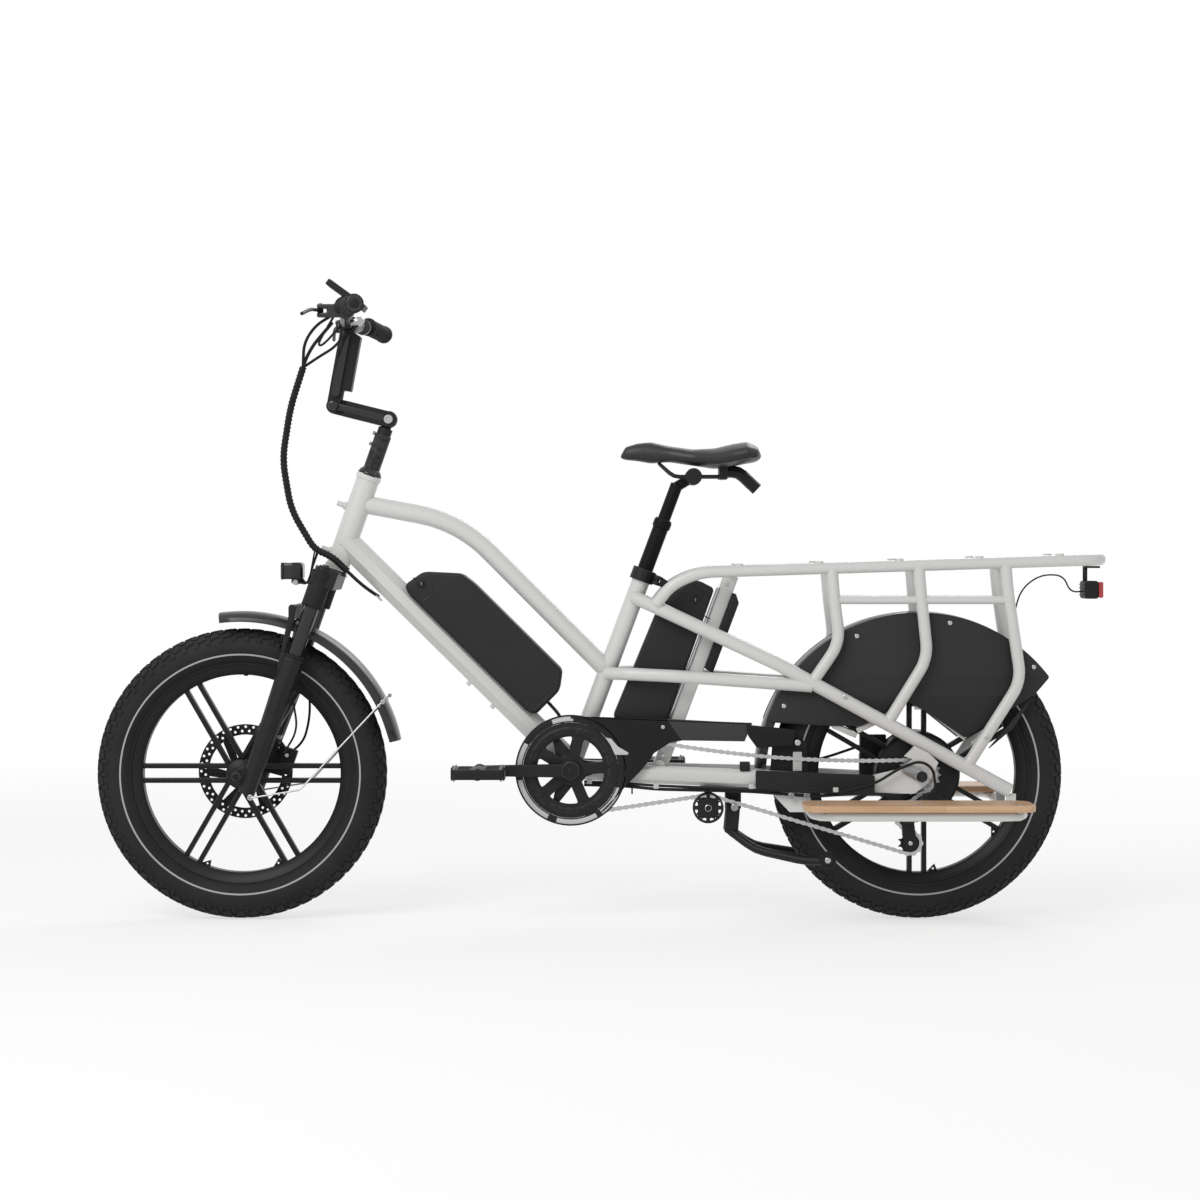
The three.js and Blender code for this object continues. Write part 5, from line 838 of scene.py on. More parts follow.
rim = mirrored([
    (rim_outer, -rim_half), (rim_outer - 1, -rim_half - 1.5), (rim_outer - 5, -rim_half - 1.5),
    (rim_outer - 6, -rim_half + 1.5), (rim_outer - 12, -rim_half + 3.5), (rim_inner + 3, -14),
    (rim_inner, -11)])
rim += mirrored([(rim_outer - 4, rim_half - 3), (rim_outer - 7, 12)])
for (side, centre, body), phase, hub_radius in zip(wheels, (0.0, pi / 6), (27, 80)):
    turned(side + "_rim", rim, centre, body, rim_black, 144, sharp=24, stands_for=(side + "_wheel",))
    reach = rim_inner + 2 - hub_radius * 0.8
    rows = []
    for offset in (-spoke_offset, spoke_offset):
        x = hub_radius * 0.8 + reach / 2
        rows.append(((reach, spoke_depth, spoke_width), (x, 0, offset), 1.6, 2))
        for y in (-spoke_depth / 2, spoke_depth / 2):
            rows.append(((reach, 1.6, spoke_width * 0.45), (x, y, offset), 0.6, 1))
    bm = blocks_mesh(rows)
    set_round(bm, centre, phase)
    repeat_round(bm, centre, 6)
    from_bmesh(side + "_spokes", bm, body, rim_black, 30)

# %% Lugs and valves on the rims
valve_parts = (((6, 6, 188), (6, 6, 184), 5, 4), ((90, 0, 164), (82, 0, 148), 3.2, 2.6))
for (side, centre, body), angles in zip(wheels, ((-112, -69), (-81, -38))):
    x, z = centre.x / MM, centre.z / MM
    bm = bmesh.new()
    for angle in angles:
        corners = [polar(x, z, r, radians(angle + turn)) for r, turn in ((188, -3), (188, 3), (175, 2.2))]
        hole = circle(*polar(x, z, 183.5, radians(angle + 0.8)), 2.2, 12)
        add_into(bm, plate_mesh([soft_loop(corners, 1.5, 3), hole], -4, 4, 0.4))
    for a, b, radius, end_radius in valve_parts:
        rod_into(bm, at(x + a[0], a[1], z + a[2]), at(x + b[0], b[1], z + b[2]), radius, end_radius)
    from_bmesh(side + "_lugs", bm, body, rim_black, 30)

# %% Hubs and the motor
motor_low, motor_high = -30, 40
flanges = mirrored([(15, -38), (22, -36), (27, -33), (28, -28), (24, -24)])
turned("front_hub", [(0, -50), (15, -50), *flanges, (15, 41), (0, 41)],
       front_axle, "wheel_front", rim_black, 64, closed=False, sharp=30)
left_face = [(r, motor_low + dy) for r, dy in (
    (0, -12), (22, -12), (24, -9), (26, -4), (60, -1), (74, 1), (79, 6), (80, 10))]
right_face = [(r, motor_high + dy) for r, dy in (
    (80, -10), (79, -5), (74, -1), (60, 0), (30, 3), (24, 8), (0, 8))]
turned("motor_shell", left_face + right_face,
       rear_axle, "wheel_rear", rim_black, 96, closed=False, sharp=28)
screws = [(rear_axle + at(x, side, z), (0, side, 0), 2.6, 2.0)
          for side in (motor_low - 1, motor_high + 0.5) for x, z in circle(0, 0, 66, 9)]
bolts("motor_screws", screws, "wheel_rear", black_coat)


# %% Brake discs with drilled bands
def rotor_loops(centre, outer):
    x, z = centre.x / MM, centre.z / MM
    loops = [circle(x, z, outer, 90)]
    for i in range(36):
        for inset, shift in ((5, 0), (13, pi / 36)):
            loops.append(circle(*polar(x, z, outer - inset, 2 * pi * i / 36 + shift), 2.5, 10))
    for start in range(0, 360, 60):
        outside = arc(x, z, outer - 20, start + 8, start + 52, 8)
        loops.append(outside + arc(x, z, 30, start + 62, start + 32, 8))
    return loops + [circle(x, z, 17, 24)]


# Both discs carry the near-black steel colour, which is painted shade.
plate("front_disc", rotor_loops(front_axle, 90), 44, 46, "wheel_front", disc_steel_painted_shade, 0.2, ("front_rotor",))
plate("rear_disc", rotor_loops(rear_axle, 80), 50, 52, "wheel_rear", disc_steel_painted_shade, 0.2, ("rear_rotor",))

# %% [markdown]
# ## Frame tubes
# The white frame is welded from round tubes. Each one follows the same corners as its solid, as
# a true round tube with smooth bends.

# %% Frame sizes
rack_half = 67
rail_radius = 11
stay_radius = 13
lower_stay_radius = 12
upright_radius = 11
rail_flat_x = bx + 240
tail_x = rx + 354


def rail_z(x):
    return 656 + 24 * (x - rail_flat_x) / (tail_x - rail_flat_x)


def frame_tube(name, corners, radius, bend=0, sides=20, stands_for=()):
    tube(name, corners, radius, "frame", white_paint, bend, sides, stands_for)


# %% Top tube, seat tube and head tube
top_run, _ = evenly(bent([steer(133), at(-266, 0, 751), seat(197)], 80 * MM, 12), 48)
frame_tube("top_tube_skin", top_run, 17.5, 0, 32, ("top_tube",))
frame_tube("seat_tube_skin", [seat(-10), seat(394)], 17, 0, 32, ("seat_tube",))
frame_tube("bracket_shell", way((bx, -36, bz), (bx, 36, bz)), 22, 0, 32)
frame_tube("head_tube_skin", [steer(0.5), steer(188.5)], 22, 0, 40, ("head_tube",))
for name, s in (("head_ring_low", 4), ("head_ring_high", 184)):
    frame_tube(name, [steer(s - 4), steer(s + 4)], 24, 0, 40)
for name, s in (("peg_low", 30), ("peg_high", 120)):
    frame_tube(name, [steer(s, 15), steer(s, 40)], 5)
    frame_tube(name + "_collar", [steer(s, 21), steer(s, 26)], 7.5)
fine_copy("down_tube", white_paint, 3.0, 3, 50, 30)

# %% Side stays, rack and uprights
knee_x, knee_z = bx + 392, 482
seat_offset = 17 + stay_radius / 2
high_x, _, high_z = seat(345) / MM
low_x, _, low_z = seat(192) / MM
uprights = ((15, 139, -36, 213), (17, 173, -59, 296), (29, 221, -73, 382))
for sign, label in BOTH_SIDES:
    y = sign * rack_half
    frame_tube(f"diagonal_stay_{label}", way(
        (high_x, sign * seat_offset / 2, high_z),
        (high_x + 45, sign * (rack_half - stay_radius), high_z - 20),
        (knee_x, y, knee_z), (bx + 822, y, 247)), stay_radius, 15, 28, (f"side_stay_{label}",))
    frame_tube(f"level_stay_{label}", way(
        (low_x, sign * seat_offset, low_z), (low_x + 45, sign * (rack_half - stay_radius * 1.4), low_z),
        (low_x + 135, sign * (rack_half - stay_radius / 3), low_z - 4), (knee_x + 60, y, knee_z - 39)),
        lower_stay_radius, 15, 28)
    for i, (knee_run, knee_drop, foot_run, foot_drop) in enumerate(uprights):
        x = bx + 489 + 162.5 * i
        z = rail_z(x)
        leg = ((0, 0), (5, 60), (knee_run, knee_drop), (foot_run, foot_drop))
        frame_tube(f"upright_{label}_{i + 1}", way(*((x + run, y, z - drop) for run, drop in leg)),
                   upright_radius, 30, 24, () if i else (f"rack_side_{label}",))
    x = bx + 494
    z = rail_z(x) - 60
    frame_tube(f"rung_{label}", way((x, y, z), (x + 325, y, z)), 7.5)

rail_side = ((bx + 160, rack_half - 6.5, 596), (bx + 188, rack_half, 632), (rail_flat_x, rack_half, 656),
             (tail_x - 11, rack_half, 680))
rail = [(x, -y, z) for x, y, z in rail_side] + list(reversed(rail_side))
frame_tube("rack_rail", way(*rail), rail_radius, 46, 28, ("rack_frame",))
for i, run in enumerate((300, 489, 651.5, 814)):
    x = bx + run
    frame_tube(f"cross_bar_{i + 1}", way((x, -rack_half, rail_z(x)), (x, rack_half, rail_z(x))), 8)
for i in range(5):
    x = rail_flat_x + 75 + 150 * i
    z = rail_z(x) + rail_radius
    for sign, label in BOTH_SIDES:
        y = sign * rack_half
        frame_tube(f"rack_pad_{label}_{i + 1}", way((x, y, z - 3), (x, y, z + 2.9)), 8)
for sign, label in BOTH_SIDES:
    fine_copy("chainstay_" + label, white_paint, 2.0, 3, 50, 30)

# %% [markdown]
# ## Fenders
# A fender is a rolled arch: a rounded cross-section swept about the axle through part of a turn.
# Its tips narrow, as a pressed sheet's do, and thin wire stays hold it to the axle.

# %% Fenders
fender_outer, fender_half, fender_side, fender_wall = 307.5, 44, 20, 2.4


def fender(side, centre, start, end, body, tips):
    loop = []
    for skin, order in ((0, range(-8, 9)), (fender_wall, range(8, -9, -1))):
        for i in order:
            a = pi / 2 * i / 8
            drop = (fender_side - skin) * (1 - cos(a)) ** 1.4
            loop.append((fender_outer - skin - drop, (fender_half - skin) * sin(a)))
    bm = bmesh.new()
    section = profile_into(bm, loop)
    bmesh.ops.rotate(bm, cent=(0, 0, 0), matrix=Matrix.Rotation(-radians(start), 3, "Y"), verts=bm.verts)
    bmesh.ops.spin(bm, geom=section, cent=(0, 0, 0), axis=(0, -1, 0), dvec=(0, 0, 0),
                   angle=radians(end - start), steps=80, use_merge=False, use_duplicate=False)
    bmesh.ops.holes_fill(bm, edges=[edge for edge in bm.edges if edge.is_boundary], sides=0)
    for vert in bm.verts:
        a = atan2(vert.co.z, vert.co.x) * 180 / pi
        for tip, reach in tips:
            share = 1 - min(abs(a - tip) / reach, 1)
            vert.co.y *= 1 - 0.3 * share * share
    bmesh.ops.translate(bm, vec=(centre.x, 0, centre.z), verts=bm.verts)
    from_bmesh(side + "_fender_skin", bm, body, fender_black, 40, (side + "_fender",))


fender("front", front_axle, 12, 98, "lowers", ((12, 7), (98, 6)))
fender("rear", rear_axle, 37, 178, "frame", ((37, 5), (178, 5)))
for sign, label in BOTH_SIDES:
    tube(f"fender_wire_{label}", way(
        (-654, sign * 86, 236), (-648, sign * 88, 236), (-560, sign * 84, 250), (-411, sign * 45, 411),
        (-404, sign * 45, 419)), 1.7, "lowers", bolt_silver, 6, 10)
side_bolts("fender_bolts", [
    (-652, 84, 236, 5.5, 4), (-409, 42, 412, 4.2, 5), (-402, 42, 420, 3.6, 5),
    (-416, 40, 405, 3.2, 4)], "lowers")

# %% Skirt panels
for sign, label in BOTH_SIDES:
    node = f"wheel_skirt_{label}"
    lower = [spot for spot in side_outline(node, sign) if hypot(spot[0] - rx, spot[1] - rz) < 304]
    lower.sort(key=lambda spot: -atan2(spot[1] - rz, spot[0] - rx))
    y0, y1 = sorted((sign * 51, sign * 53.4))
    panel = soft_loop(arc(rx, rz, 305.7, 37, 161, 64) + lower, 5)
    plate(node + "_panel", [panel], y0, y1, "frame", skirt_grey, 0.5, (node,))
    spots = [polar(rx, rz, 295, radians(angle)) for angle in (43.6, 78.8, 113.9, 152.6)]
    spacers = [(at(x, sign * 43, z), at(x, sign * 51, z), 4) for x, z in spots]
    rods(node + "_spacers", spacers, "frame", black_plastic, 12)

# %% [markdown]
# ## Fork, stem and other cast parts
# Forged and cast parts have no sharp inside corners. Their solids are melted into one skin of
# small faces and relaxed a little, which leaves a soft fillet wherever two shapes meet.

# %% Cast parts
cast_finish = {"seatpost_outer": post_black, "seatpost_inner": post_black, "handlebar": bar_black}
cast_parts = (
    ("fork_crown", 1.8, 5), ("fork_lowers", 1.8, 6), ("stem_post", 1.2, 3), ("stem_arm", 1.2, 4),
    ("stem_upper", 1.3, 4), ("seat_clamp", 1.0, 2), ("seat_lever", 0.8, 2), ("stand_bracket", 1.5, 3),
    ("kickstand", 1.5, 4), ("crank_left", 1.2, 5), ("crank_right", 1.2, 5), ("derailleur", 1.0, 2),
    ("rear_caliper", 1.2, 4),
    ("handlebar", 1.5, 4), ("brake_lever_left", 0.8, 4), ("brake_lever_right", 0.8, 4), ("display", 1.2, 3),
    ("seatpost_outer", 1.0, 1), ("seatpost_inner", 1.0, 1), ("saddle_rails", 1.0, 3))
for node, voxel, passes in cast_parts:
    cast_copy(node, cast_finish.get(node, black_cast), voxel, passes)
for sign, label in BOTH_SIDES:
    fine_copy("footboard_loop_" + label, white_paint)
fine_copy("rear_axle", bolt_silver, 0.5)
print("cast parts:", len(cast_parts))

# %% [markdown]
# ## Fork fittings
# Rubber boots with a notched lower rim cover the joint of stanchion and crown. Wipers sit on the
# sliding legs, and bolts and a cast arch finish the fork.


# %% Boots, wipers and bolts
def sleeve(name, low, high, inner, outer, body, paint, notches=0):
    """A short tube between two places on a slanted axis, with notches cut into its lower rim."""
    length = (high - low).length / MM
    near = outer - 0.8
    wall = [(inner, 0), (near, 0), (outer, 0.8), (outer, length - 0.8), (near, length), (inner, length)]
    bm = turned_mesh(wall, Vector((0, 0, 0)), max(48, notches * 4))
    if notches:
        step = 2 * pi / notches
        chosen = []
        for face in bm.faces:
            place = face.calc_center_median()
            low_face = face.normal.y < -0.9 or place.y < 0.4 * MM
            if low_face and (atan2(place.z, place.x) % step) < step / 2:
                chosen.append(face)
        pushed = bmesh.ops.extrude_face_region(bm, geom=chosen)["geom"]
        verts = [v for v in pushed if isinstance(v, bmesh.types.BMVert)]
        bmesh.ops.translate(bm, vec=(0, -4 * MM, 0), verts=verts)
        bmesh.ops.delete(bm, geom=chosen, context="FACES")
    stand = turn_to(high - low, low) @ Matrix.Rotation(pi / 2, 4, "X")
    bmesh.ops.transform(bm, matrix=stand, verts=bm.verts)
    from_bmesh(name, bm, body, paint, 35)


leg_y, leg_ahead = 70, 14
for sign, label in BOTH_SIDES:
    def leg(s):
        return steer(s, leg_ahead, sign * leg_y)

    sleeve(f"fork_boot_{label}", leg(-76), leg(-18), 17, 20.4, "steering", soft_rubber, 10)
    sleeve(f"boot_ring_{label}", leg(-24), leg(-10), 17, 21.8, "steering", soft_rubber)
    sleeve(f"wiper_{label}", leg(-181.5), leg(-174), 14.3, 20, "lowers", soft_rubber)
    rods(f"stanchion_{label}", [(leg(-240), leg(-40), 14.1)], "steering", gloss_black, 40, 0.3)
    rods(f"fork_cap_{label}", [(leg(-1.7), leg(1.3), 12), (leg(0), leg(4), 6.5)],
         "steering", gloss_black, 32, 0.8)
side_bolts("axle_nuts", [(-678, 86, 274.95, 9, 5)], "lowers", black_coat)
ribs = [(steer(s, 50, -half), steer(s, 50, half), 3) for s, half in ((-170, 52), (-152, 46))]
rods("arch_ribs", ribs, "lowers", black_cast, 12)
rods("crown_race", [(steer(-8), steer(0.2), 24, 20)], "steering", gloss_black, 48, 0.8)
rods("headset_cup", [(steer(189.3), steer(193), 23), (steer(193), steer(203), 21.5, 15)],
     "steering", gloss_black, 48, 0.5)
bumps = []
for i in range(14):
    a = 2 * pi * i / 14
    bumps.append((steer(193, 20 * cos(a), 20 * sin(a)), steer(201, 15 * cos(a), 15 * sin(a)), 2.6, 1.6))
rods("headset_bumps", bumps, "steering", gloss_black, 10, 0.4, 40)

# %% Front brake: hose and caliper fittings
front_hoses = (
    ("front_hose", 2.4, (
        (-560, 60, 470), (-556, 58, 380), (-568, 54, 330), (-600, 52, 305), (-618, 50, 318))),
    ("front_hose_high", 2.0, ((-560, -62, 560), (-584, -60, 470), (-566, -62, 360), (-592, -58, 318))))
for name, radius, corners in front_hoses:
    tube(name, way(*corners), radius, "lowers", soft_rubber, 30, 10)
bolts("caliper_bolts", [(at(x, y, z), (0, side, 0), 4, 3) for x, y, z, side in (
    (-611, 57, 340, 1), (-596, 57, 300, 1), (-612, 33, 340, -1), (-598, 33, 306, -1))], "lowers")

# %% [markdown]
# ## Lamps
# The headlight is a small cooled case: a rounded box with fins across its back and a clear lens.
# The tail lamp is a red lens in a black case that hangs from the rack.

# %% Headlight
low, high = box_mm("headlight")
lamp_x, lamp_z = low.x + 21, high.z - 16.5
fins = [((1.8, 51, 32.5), (lamp_x + 4 + i * 2.1 - 2, 0, lamp_z), 0.7, 2) for i in range(8)]
from_bmesh("headlight_case", blocks_mesh([
    ((38, 50, 31), (lamp_x + 1.5, 0, lamp_z), 5, 4), *fins,
    ((5, 51.5, 32.6), (lamp_x - 17.5, 0, lamp_z), 1.8, 3),
    ((20, 20, 9), (lamp_x + 8, 0, lamp_z - 19), 2, 3),
    ((46, 18, 5), (lamp_x + 30, 0, lamp_z - 22), 1.2, 2)]),
    "steering", gloss_black, 35, ("headlight",))
block("headlight_lens", (3, 44, 26), (lamp_x - 19.6, 0, lamp_z), "steering", lens_clear, 1.4, 3)
side_bolts("headlight_bolt", [(lamp_x + 6, 10, lamp_z - 21, 5.5, 3)], "steering")
for i, (dx, dy) in enumerate(((0, -6), (5, -10), (8, -4))):
    tube(f"lamp_wire_{i + 1}", way(
        (lamp_x + 10 + dx, dy, lamp_z - 14), (lamp_x + 22 + dx, dy - 12, lamp_z - 26),
        (lamp_x + 34, dy - 24, lamp_z - 20 + dx), (-536 + dx, -42, 700)),
        1.5, "steering", soft_rubber, 14, 8)

# %% Tail lamp
low, high = box_mm("tail_light")
bm = blocks_mesh([
    ((26, 62, 34), (low.x + 14, 0, low.z + 18), 5, 4), ((30, 20, 4), (low.x + 18, 0, high.z - 3), 1, 2),
    *(((27, 63, 1.4), (low.x + 13.5, 0, low.z + 8 + i * 6.6), 0.5, 2) for i in range(4))])
rod_into(bm, at(low.x + 6, 0, low.z + 30), at(low.x + 6, 0, high.z - 3), 4.5)
from_bmesh("tail_case", bm, "frame", black_plastic, 35, ("tail_light",))
block("tail_lens", (9, 61, 30), (high.x - 5, 0, low.z + 18), "frame", lens_red, 2.4, 4)
bolts("tail_bolts", [(at(low.x + 10, y, high.z - 1.5), (0, 0, 1), 2.6, 1.5) for y in (-5, 5)], "frame")

# %% [markdown]
# ## Batteries
# Each battery is a moulded case with generous edge radii. A thin seam runs round its side, and a
# lock with a key slot sits near the carrying end.

# %% Battery cases
seam_inset, seam_width = 8, 1.4


def inward(outline, distance):
    """The outline with each corner moved towards its middle."""
    centre = sum((Vector(corner) for corner in outline), Vector((0, 0))) / len(outline)
    corners = [Vector(corner) for corner in outline]
    return [corner + (centre - corner).normalized() * distance for corner in corners]


def battery(node, width, body, lock, cap_line):
    outline = side_outline(node)
    half = width / 2
    plate(node + "_case", [soft_loop(outline, 9)], -half, half, body, case_grey, 6.5, (node,), 5)
    seam = [soft_loop(inward(outline, seam_inset), 10),
            soft_loop(inward(outline, seam_inset + seam_width), 9)]
    for sign, label in BOTH_SIDES:
        def beside(x, z, out):
            return at(x, sign * (half + out), z)

        y0, y1 = sorted((sign * (half - 0.4), sign * (half + 0.25)))
        plate(f"{node}_seam_{label}", seam, y0, y1, body, gloss_black, 0.15)
        rods(f"{node}_lock_{label}", [
            (beside(*lock, -1), beside(*lock, 2.2), 7.5), (beside(*lock, 1), beside(*lock, 3), 5)],
            body, black_coat, 32, 0.7)
        key = (lock[0], sign * (half + 3.1), lock[1])
        block(f"{node}_keyway_{label}", (1.4, 1.0, 5.5), key, body, steel, 0.2)
        line = [beside(x, z, 0.05) for x, z in cap_line]
        tube(f"{node}_cap_line_{label}", line, 0.9, body, gloss_black, 12, 8)


battery("battery_front", 76, "front_battery", (-336, 634),
        ((-352, 645), (-320, 645), (-312, 632), (-318, 612), (-334, 602)))
battery("battery_rear", 60, "rear_battery", (180, 604),
        ((133, 598), (152, 616), (168, 590), (184, 580), (208, 568)))
cable = way((-106, -18, 418), (-92, -20, 404), (-78, -24, 388), (-70, -22, 372), (-72, -16, 352))
tube("battery_cable", cable, 3.2, ("frame", "front_battery", cable[-1], cable[0]), soft_rubber, 10, 12)

# %% Battery rail and controller
rail_front, rail_back = 139.3, 170.3
track_front = rail_front + 3.6
case_front, case_back = rail_back + 0.3, rail_back + 17
post = ((64, rail_front + 4), (64, rail_back), (449, rail_back), (449, rail_front + 4))
track = ((118, rail_front), (118, track_front), (418, track_front), (418, rail_front))
case = ((266, case_front), (262, case_back), (404, case_back), (418, rail_back + 6), (418, case_front))
for name, corners, half, edge, rounds, paint, stands_for in (
        ("battery_post", post, 20, 3, 3, white_paint, ("battery_rail",)),
        ("battery_track", track, 24, 0.8, 1, bolt_silver, ()),
        ("controller_case", case, 36, 3.5, 3, black_plastic, ())):
    loop = [(seat(s, -f).x / MM, seat(s, -f).z / MM) for s, f in corners]
    plate(name, [loop], -half, half, "frame", paint, edge, stands_for, rounds)
rods("rail_foot", [(seat(67, -154, -36), seat(67, -154, 36), 9)], "frame", white_paint)
bolts("rail_bolts", [(seat(s, -154, sign * 20), (0, sign, 0), 3.6, 2.4)
                     for s in (84, 250, 430) for sign in (-1, 1)], "frame")

# %% [markdown]
# ## Saddle
# The saddle is moulded foam under a tight cover, so it has no loose cloth to simulate. Its solid
# is melted into even faces and relaxed until it's smooth.

# %% Saddle
saddle = cast_copy("saddle", saddle_cover, 3.0, 10)
soften = saddle.modifiers.new("soften", "SUBSURF")
soften.levels = 1
soften.render_levels = 1

# %% [markdown]
# ## Drive
# The chain runs from the big ring under an idler, through the tensioner's two small wheels and
# over the rear sprockets. Its path is worked out from those wheels. Two kinds of link are made
# once and laid along it at their real half-inch pitch.

# %% Chain path
chain_y = -52
half_inch = 12.7
jockeys = ((576, 195.95), (582, 147.95))
# Each wheel's centre, pitch radius and the side on which the chain passes it
chain_wheels = (
    (bx, bz, 85, 1), (ix, iz, 23.5, -1), (*jockeys[1], 21, 1), (*jockeys[0], 21, -1), (rx, rz, 30, 1))
upper_sag = 24
slack_steps = 40


def heading(a, b):
    """The direction of the straight run between two wheels, in radians."""
    run, rise = b[0] - a[0], b[1] - a[1]
    return atan2(rise, run) + asin((a[3] * a[2] - b[3] * b[2]) / hypot(run, rise))


route = []
behind, ahead = chain_wheels[-1:] + chain_wheels, chain_wheels[1:] + chain_wheels[:1]
for before, wheel, after in zip(behind, chain_wheels, ahead):
    x, z, radius, side = wheel
    arrive = heading(before, wheel) - side * pi / 2
    leave = heading(wheel, after) - side * pi / 2
    turn = ((leave - arrive) * side) % (2 * pi)
    steps = max(3, ceil(turn / radians(4)))
    angles = [arrive + side * turn * k / steps for k in range(steps + 1)]
    route += [at(x + radius * cos(a), chain_y, z + radius * sin(a)) for a in angles]
slack_run = []
for k in range(1, slack_steps + 1):
    share = k / slack_steps
    slack_run.append(route[-1].lerp(route[0], share) - at(0, 0, 4 * upper_sag * share * (1 - share)))
route += slack_run
chain_length = evenly(route, 2)[1] / MM
link_count = round(chain_length / half_inch / 2) * 2
pins, _ = evenly(route, link_count)
link_pitch = chain_length / link_count
print("chain length", round(chain_length), "mm, links", link_count)

# %% Chain links
waisted = []
for centre, start in ((link_pitch, -118), (0, 62)):
    waisted += arc(centre, 0, 4.2, start, start + 236, 5)
    waisted.append((link_pitch / 2, 2.5 if start < 0 else -2.5))


def link_mesh(inside, thickness, pin_reach, pin_radius):
    bm = bmesh.new()
    for y in (inside, -inside - thickness):
        add_into(bm, plate_mesh([waisted], y, y + thickness, 0))
    bmesh.ops.remove_doubles(bm, verts=bm.verts, dist=1e-6)
    bmesh.ops.dissolve_limit(bm, angle_limit=radians(1), verts=bm.verts, edges=bm.edges)
    for x in (0, link_pitch):
        rod_into(bm, at(x, -pin_reach, 0), at(x, pin_reach, 0), pin_radius, None, 8, 0)
    print("one link has", len(bm.faces), "faces")
    return mesh_from("link", bm)


kinds = (link_mesh(2.9, 0.8, 4.0, 1.8), link_mesh(1.9, 0.8, 1.9, 3.6))
bm = bmesh.new()
for i, (a, b) in enumerate(zip(pins, pins[1:])):
    before = len(bm.verts)
    bm.from_mesh(kinds[i % 2])
    bm.verts.ensure_lookup_table()
    spot = Matrix.Translation(a) @ Matrix.Rotation(-atan2(b.z - a.z, b.x - a.x), 4, "Y")
    bmesh.ops.transform(bm, matrix=spot, verts=bm.verts[before:])
from_bmesh("chain_links", bm, "frame", chain_steel, 35, ("chain",))


# %% Big ring and its spider
def ring(*radii):
    """Circles about the bottom bracket, each as (radius, count)."""
    return [circle(bx, bz, radius, count) for radius, count in radii]


windows = []
for turn in range(41, 401, 72):
    window = arc(bx, bz, 63, turn - 26, turn + 26, 8) + arc(bx, bz, 27, turn + 12, turn - 12, 4)
    windows.append(soft_loop(window, 6, 4))
plate("ring_teeth", [gear(bx, bz, 85, 42)] + ring((70, 72)),
      -53, -51, "cranks", black_coat, 0.4, ("chainring",))
plate("ring_guard", ring((89.5, 120), (66, 96)), -61, -59, "cranks", black_plastic, 0.8, (), 3)
plate("spider", ring((70, 96)) + windows, -60.2, -55.5, "cranks", black_cast, 1.6, (), 3)
turned("ring_step", [(70, -61.6), (75, -62.6), (78, -62.6), (81, -61.2), (81, -60), (70, -60)],
       ring_centre, "cranks", black_coat, 120)
turned("spider_hub", [
    (0, -66), (16, -66), (18, -65), (20, -60.5), (26, -58.5), (28, -56), (28, -51), (0, -51)],
    ring_centre, "cranks", black_cast, 64, closed=False, sharp=30)
arm_ends = [polar(bx, bz, 74, radians(turn)) for turn in range(5, 365, 72)]
side_bolts("ring_bolts", [(x, 61, z, 4.5, 2.2) for x, z in arm_ends], "cranks", black_coat, (-1,))
wings = bmesh.new()
for turn in (116, 245, 5):
    a = radians(turn)
    wedge = ((26, 16), (66, 6), (66, -6), (26, -16))
    corners = [(bx + u * cos(a) - v * sin(a), bz + u * sin(a) + v * cos(a)) for u, v in wedge]
    add_into(wings, plate_mesh([soft_loop(corners, 3)], -47.5, -44.5, 0.8))
add_into(wings, plate_mesh(ring((31, 48), (18.5, 36)), -47.8, -44.2, 0.8))
from_bmesh("guard_bracket", wings, "frame", black_coat, 40)
print("spider windows:", len(windows))

# %% Crank bosses
crank_faces = (-79, 73)
boss_steps = (
    (0, 1.6), (6, 1.6), (7, 0.6), (12.5, 0.6), (13.2, 2.2), (15.5, 2.2), (17, 1.4), (17.4, 0), (0, 0))
for (sign, label), face in zip(BOTH_SIDES, crank_faces):
    boss = [(radius, face + sign * out) for radius, out in boss_steps]
    turned(f"crank_boss_{label}", boss, ring_centre, "cranks", black_cast, 56, closed=False, sharp=30)
bolts("crank_bolts", [(at(bx, y, bz), (0, y, 0), 5.5, 1.8) for y in (-80, 74)], "cranks", black_coat)
bolts("crank_tips", [(at(bx + run, y, bz), (0, y, 0), 6.8, 1.2)
                     for run, y in zip((-170, 170), crank_faces)], "cranks", steel)

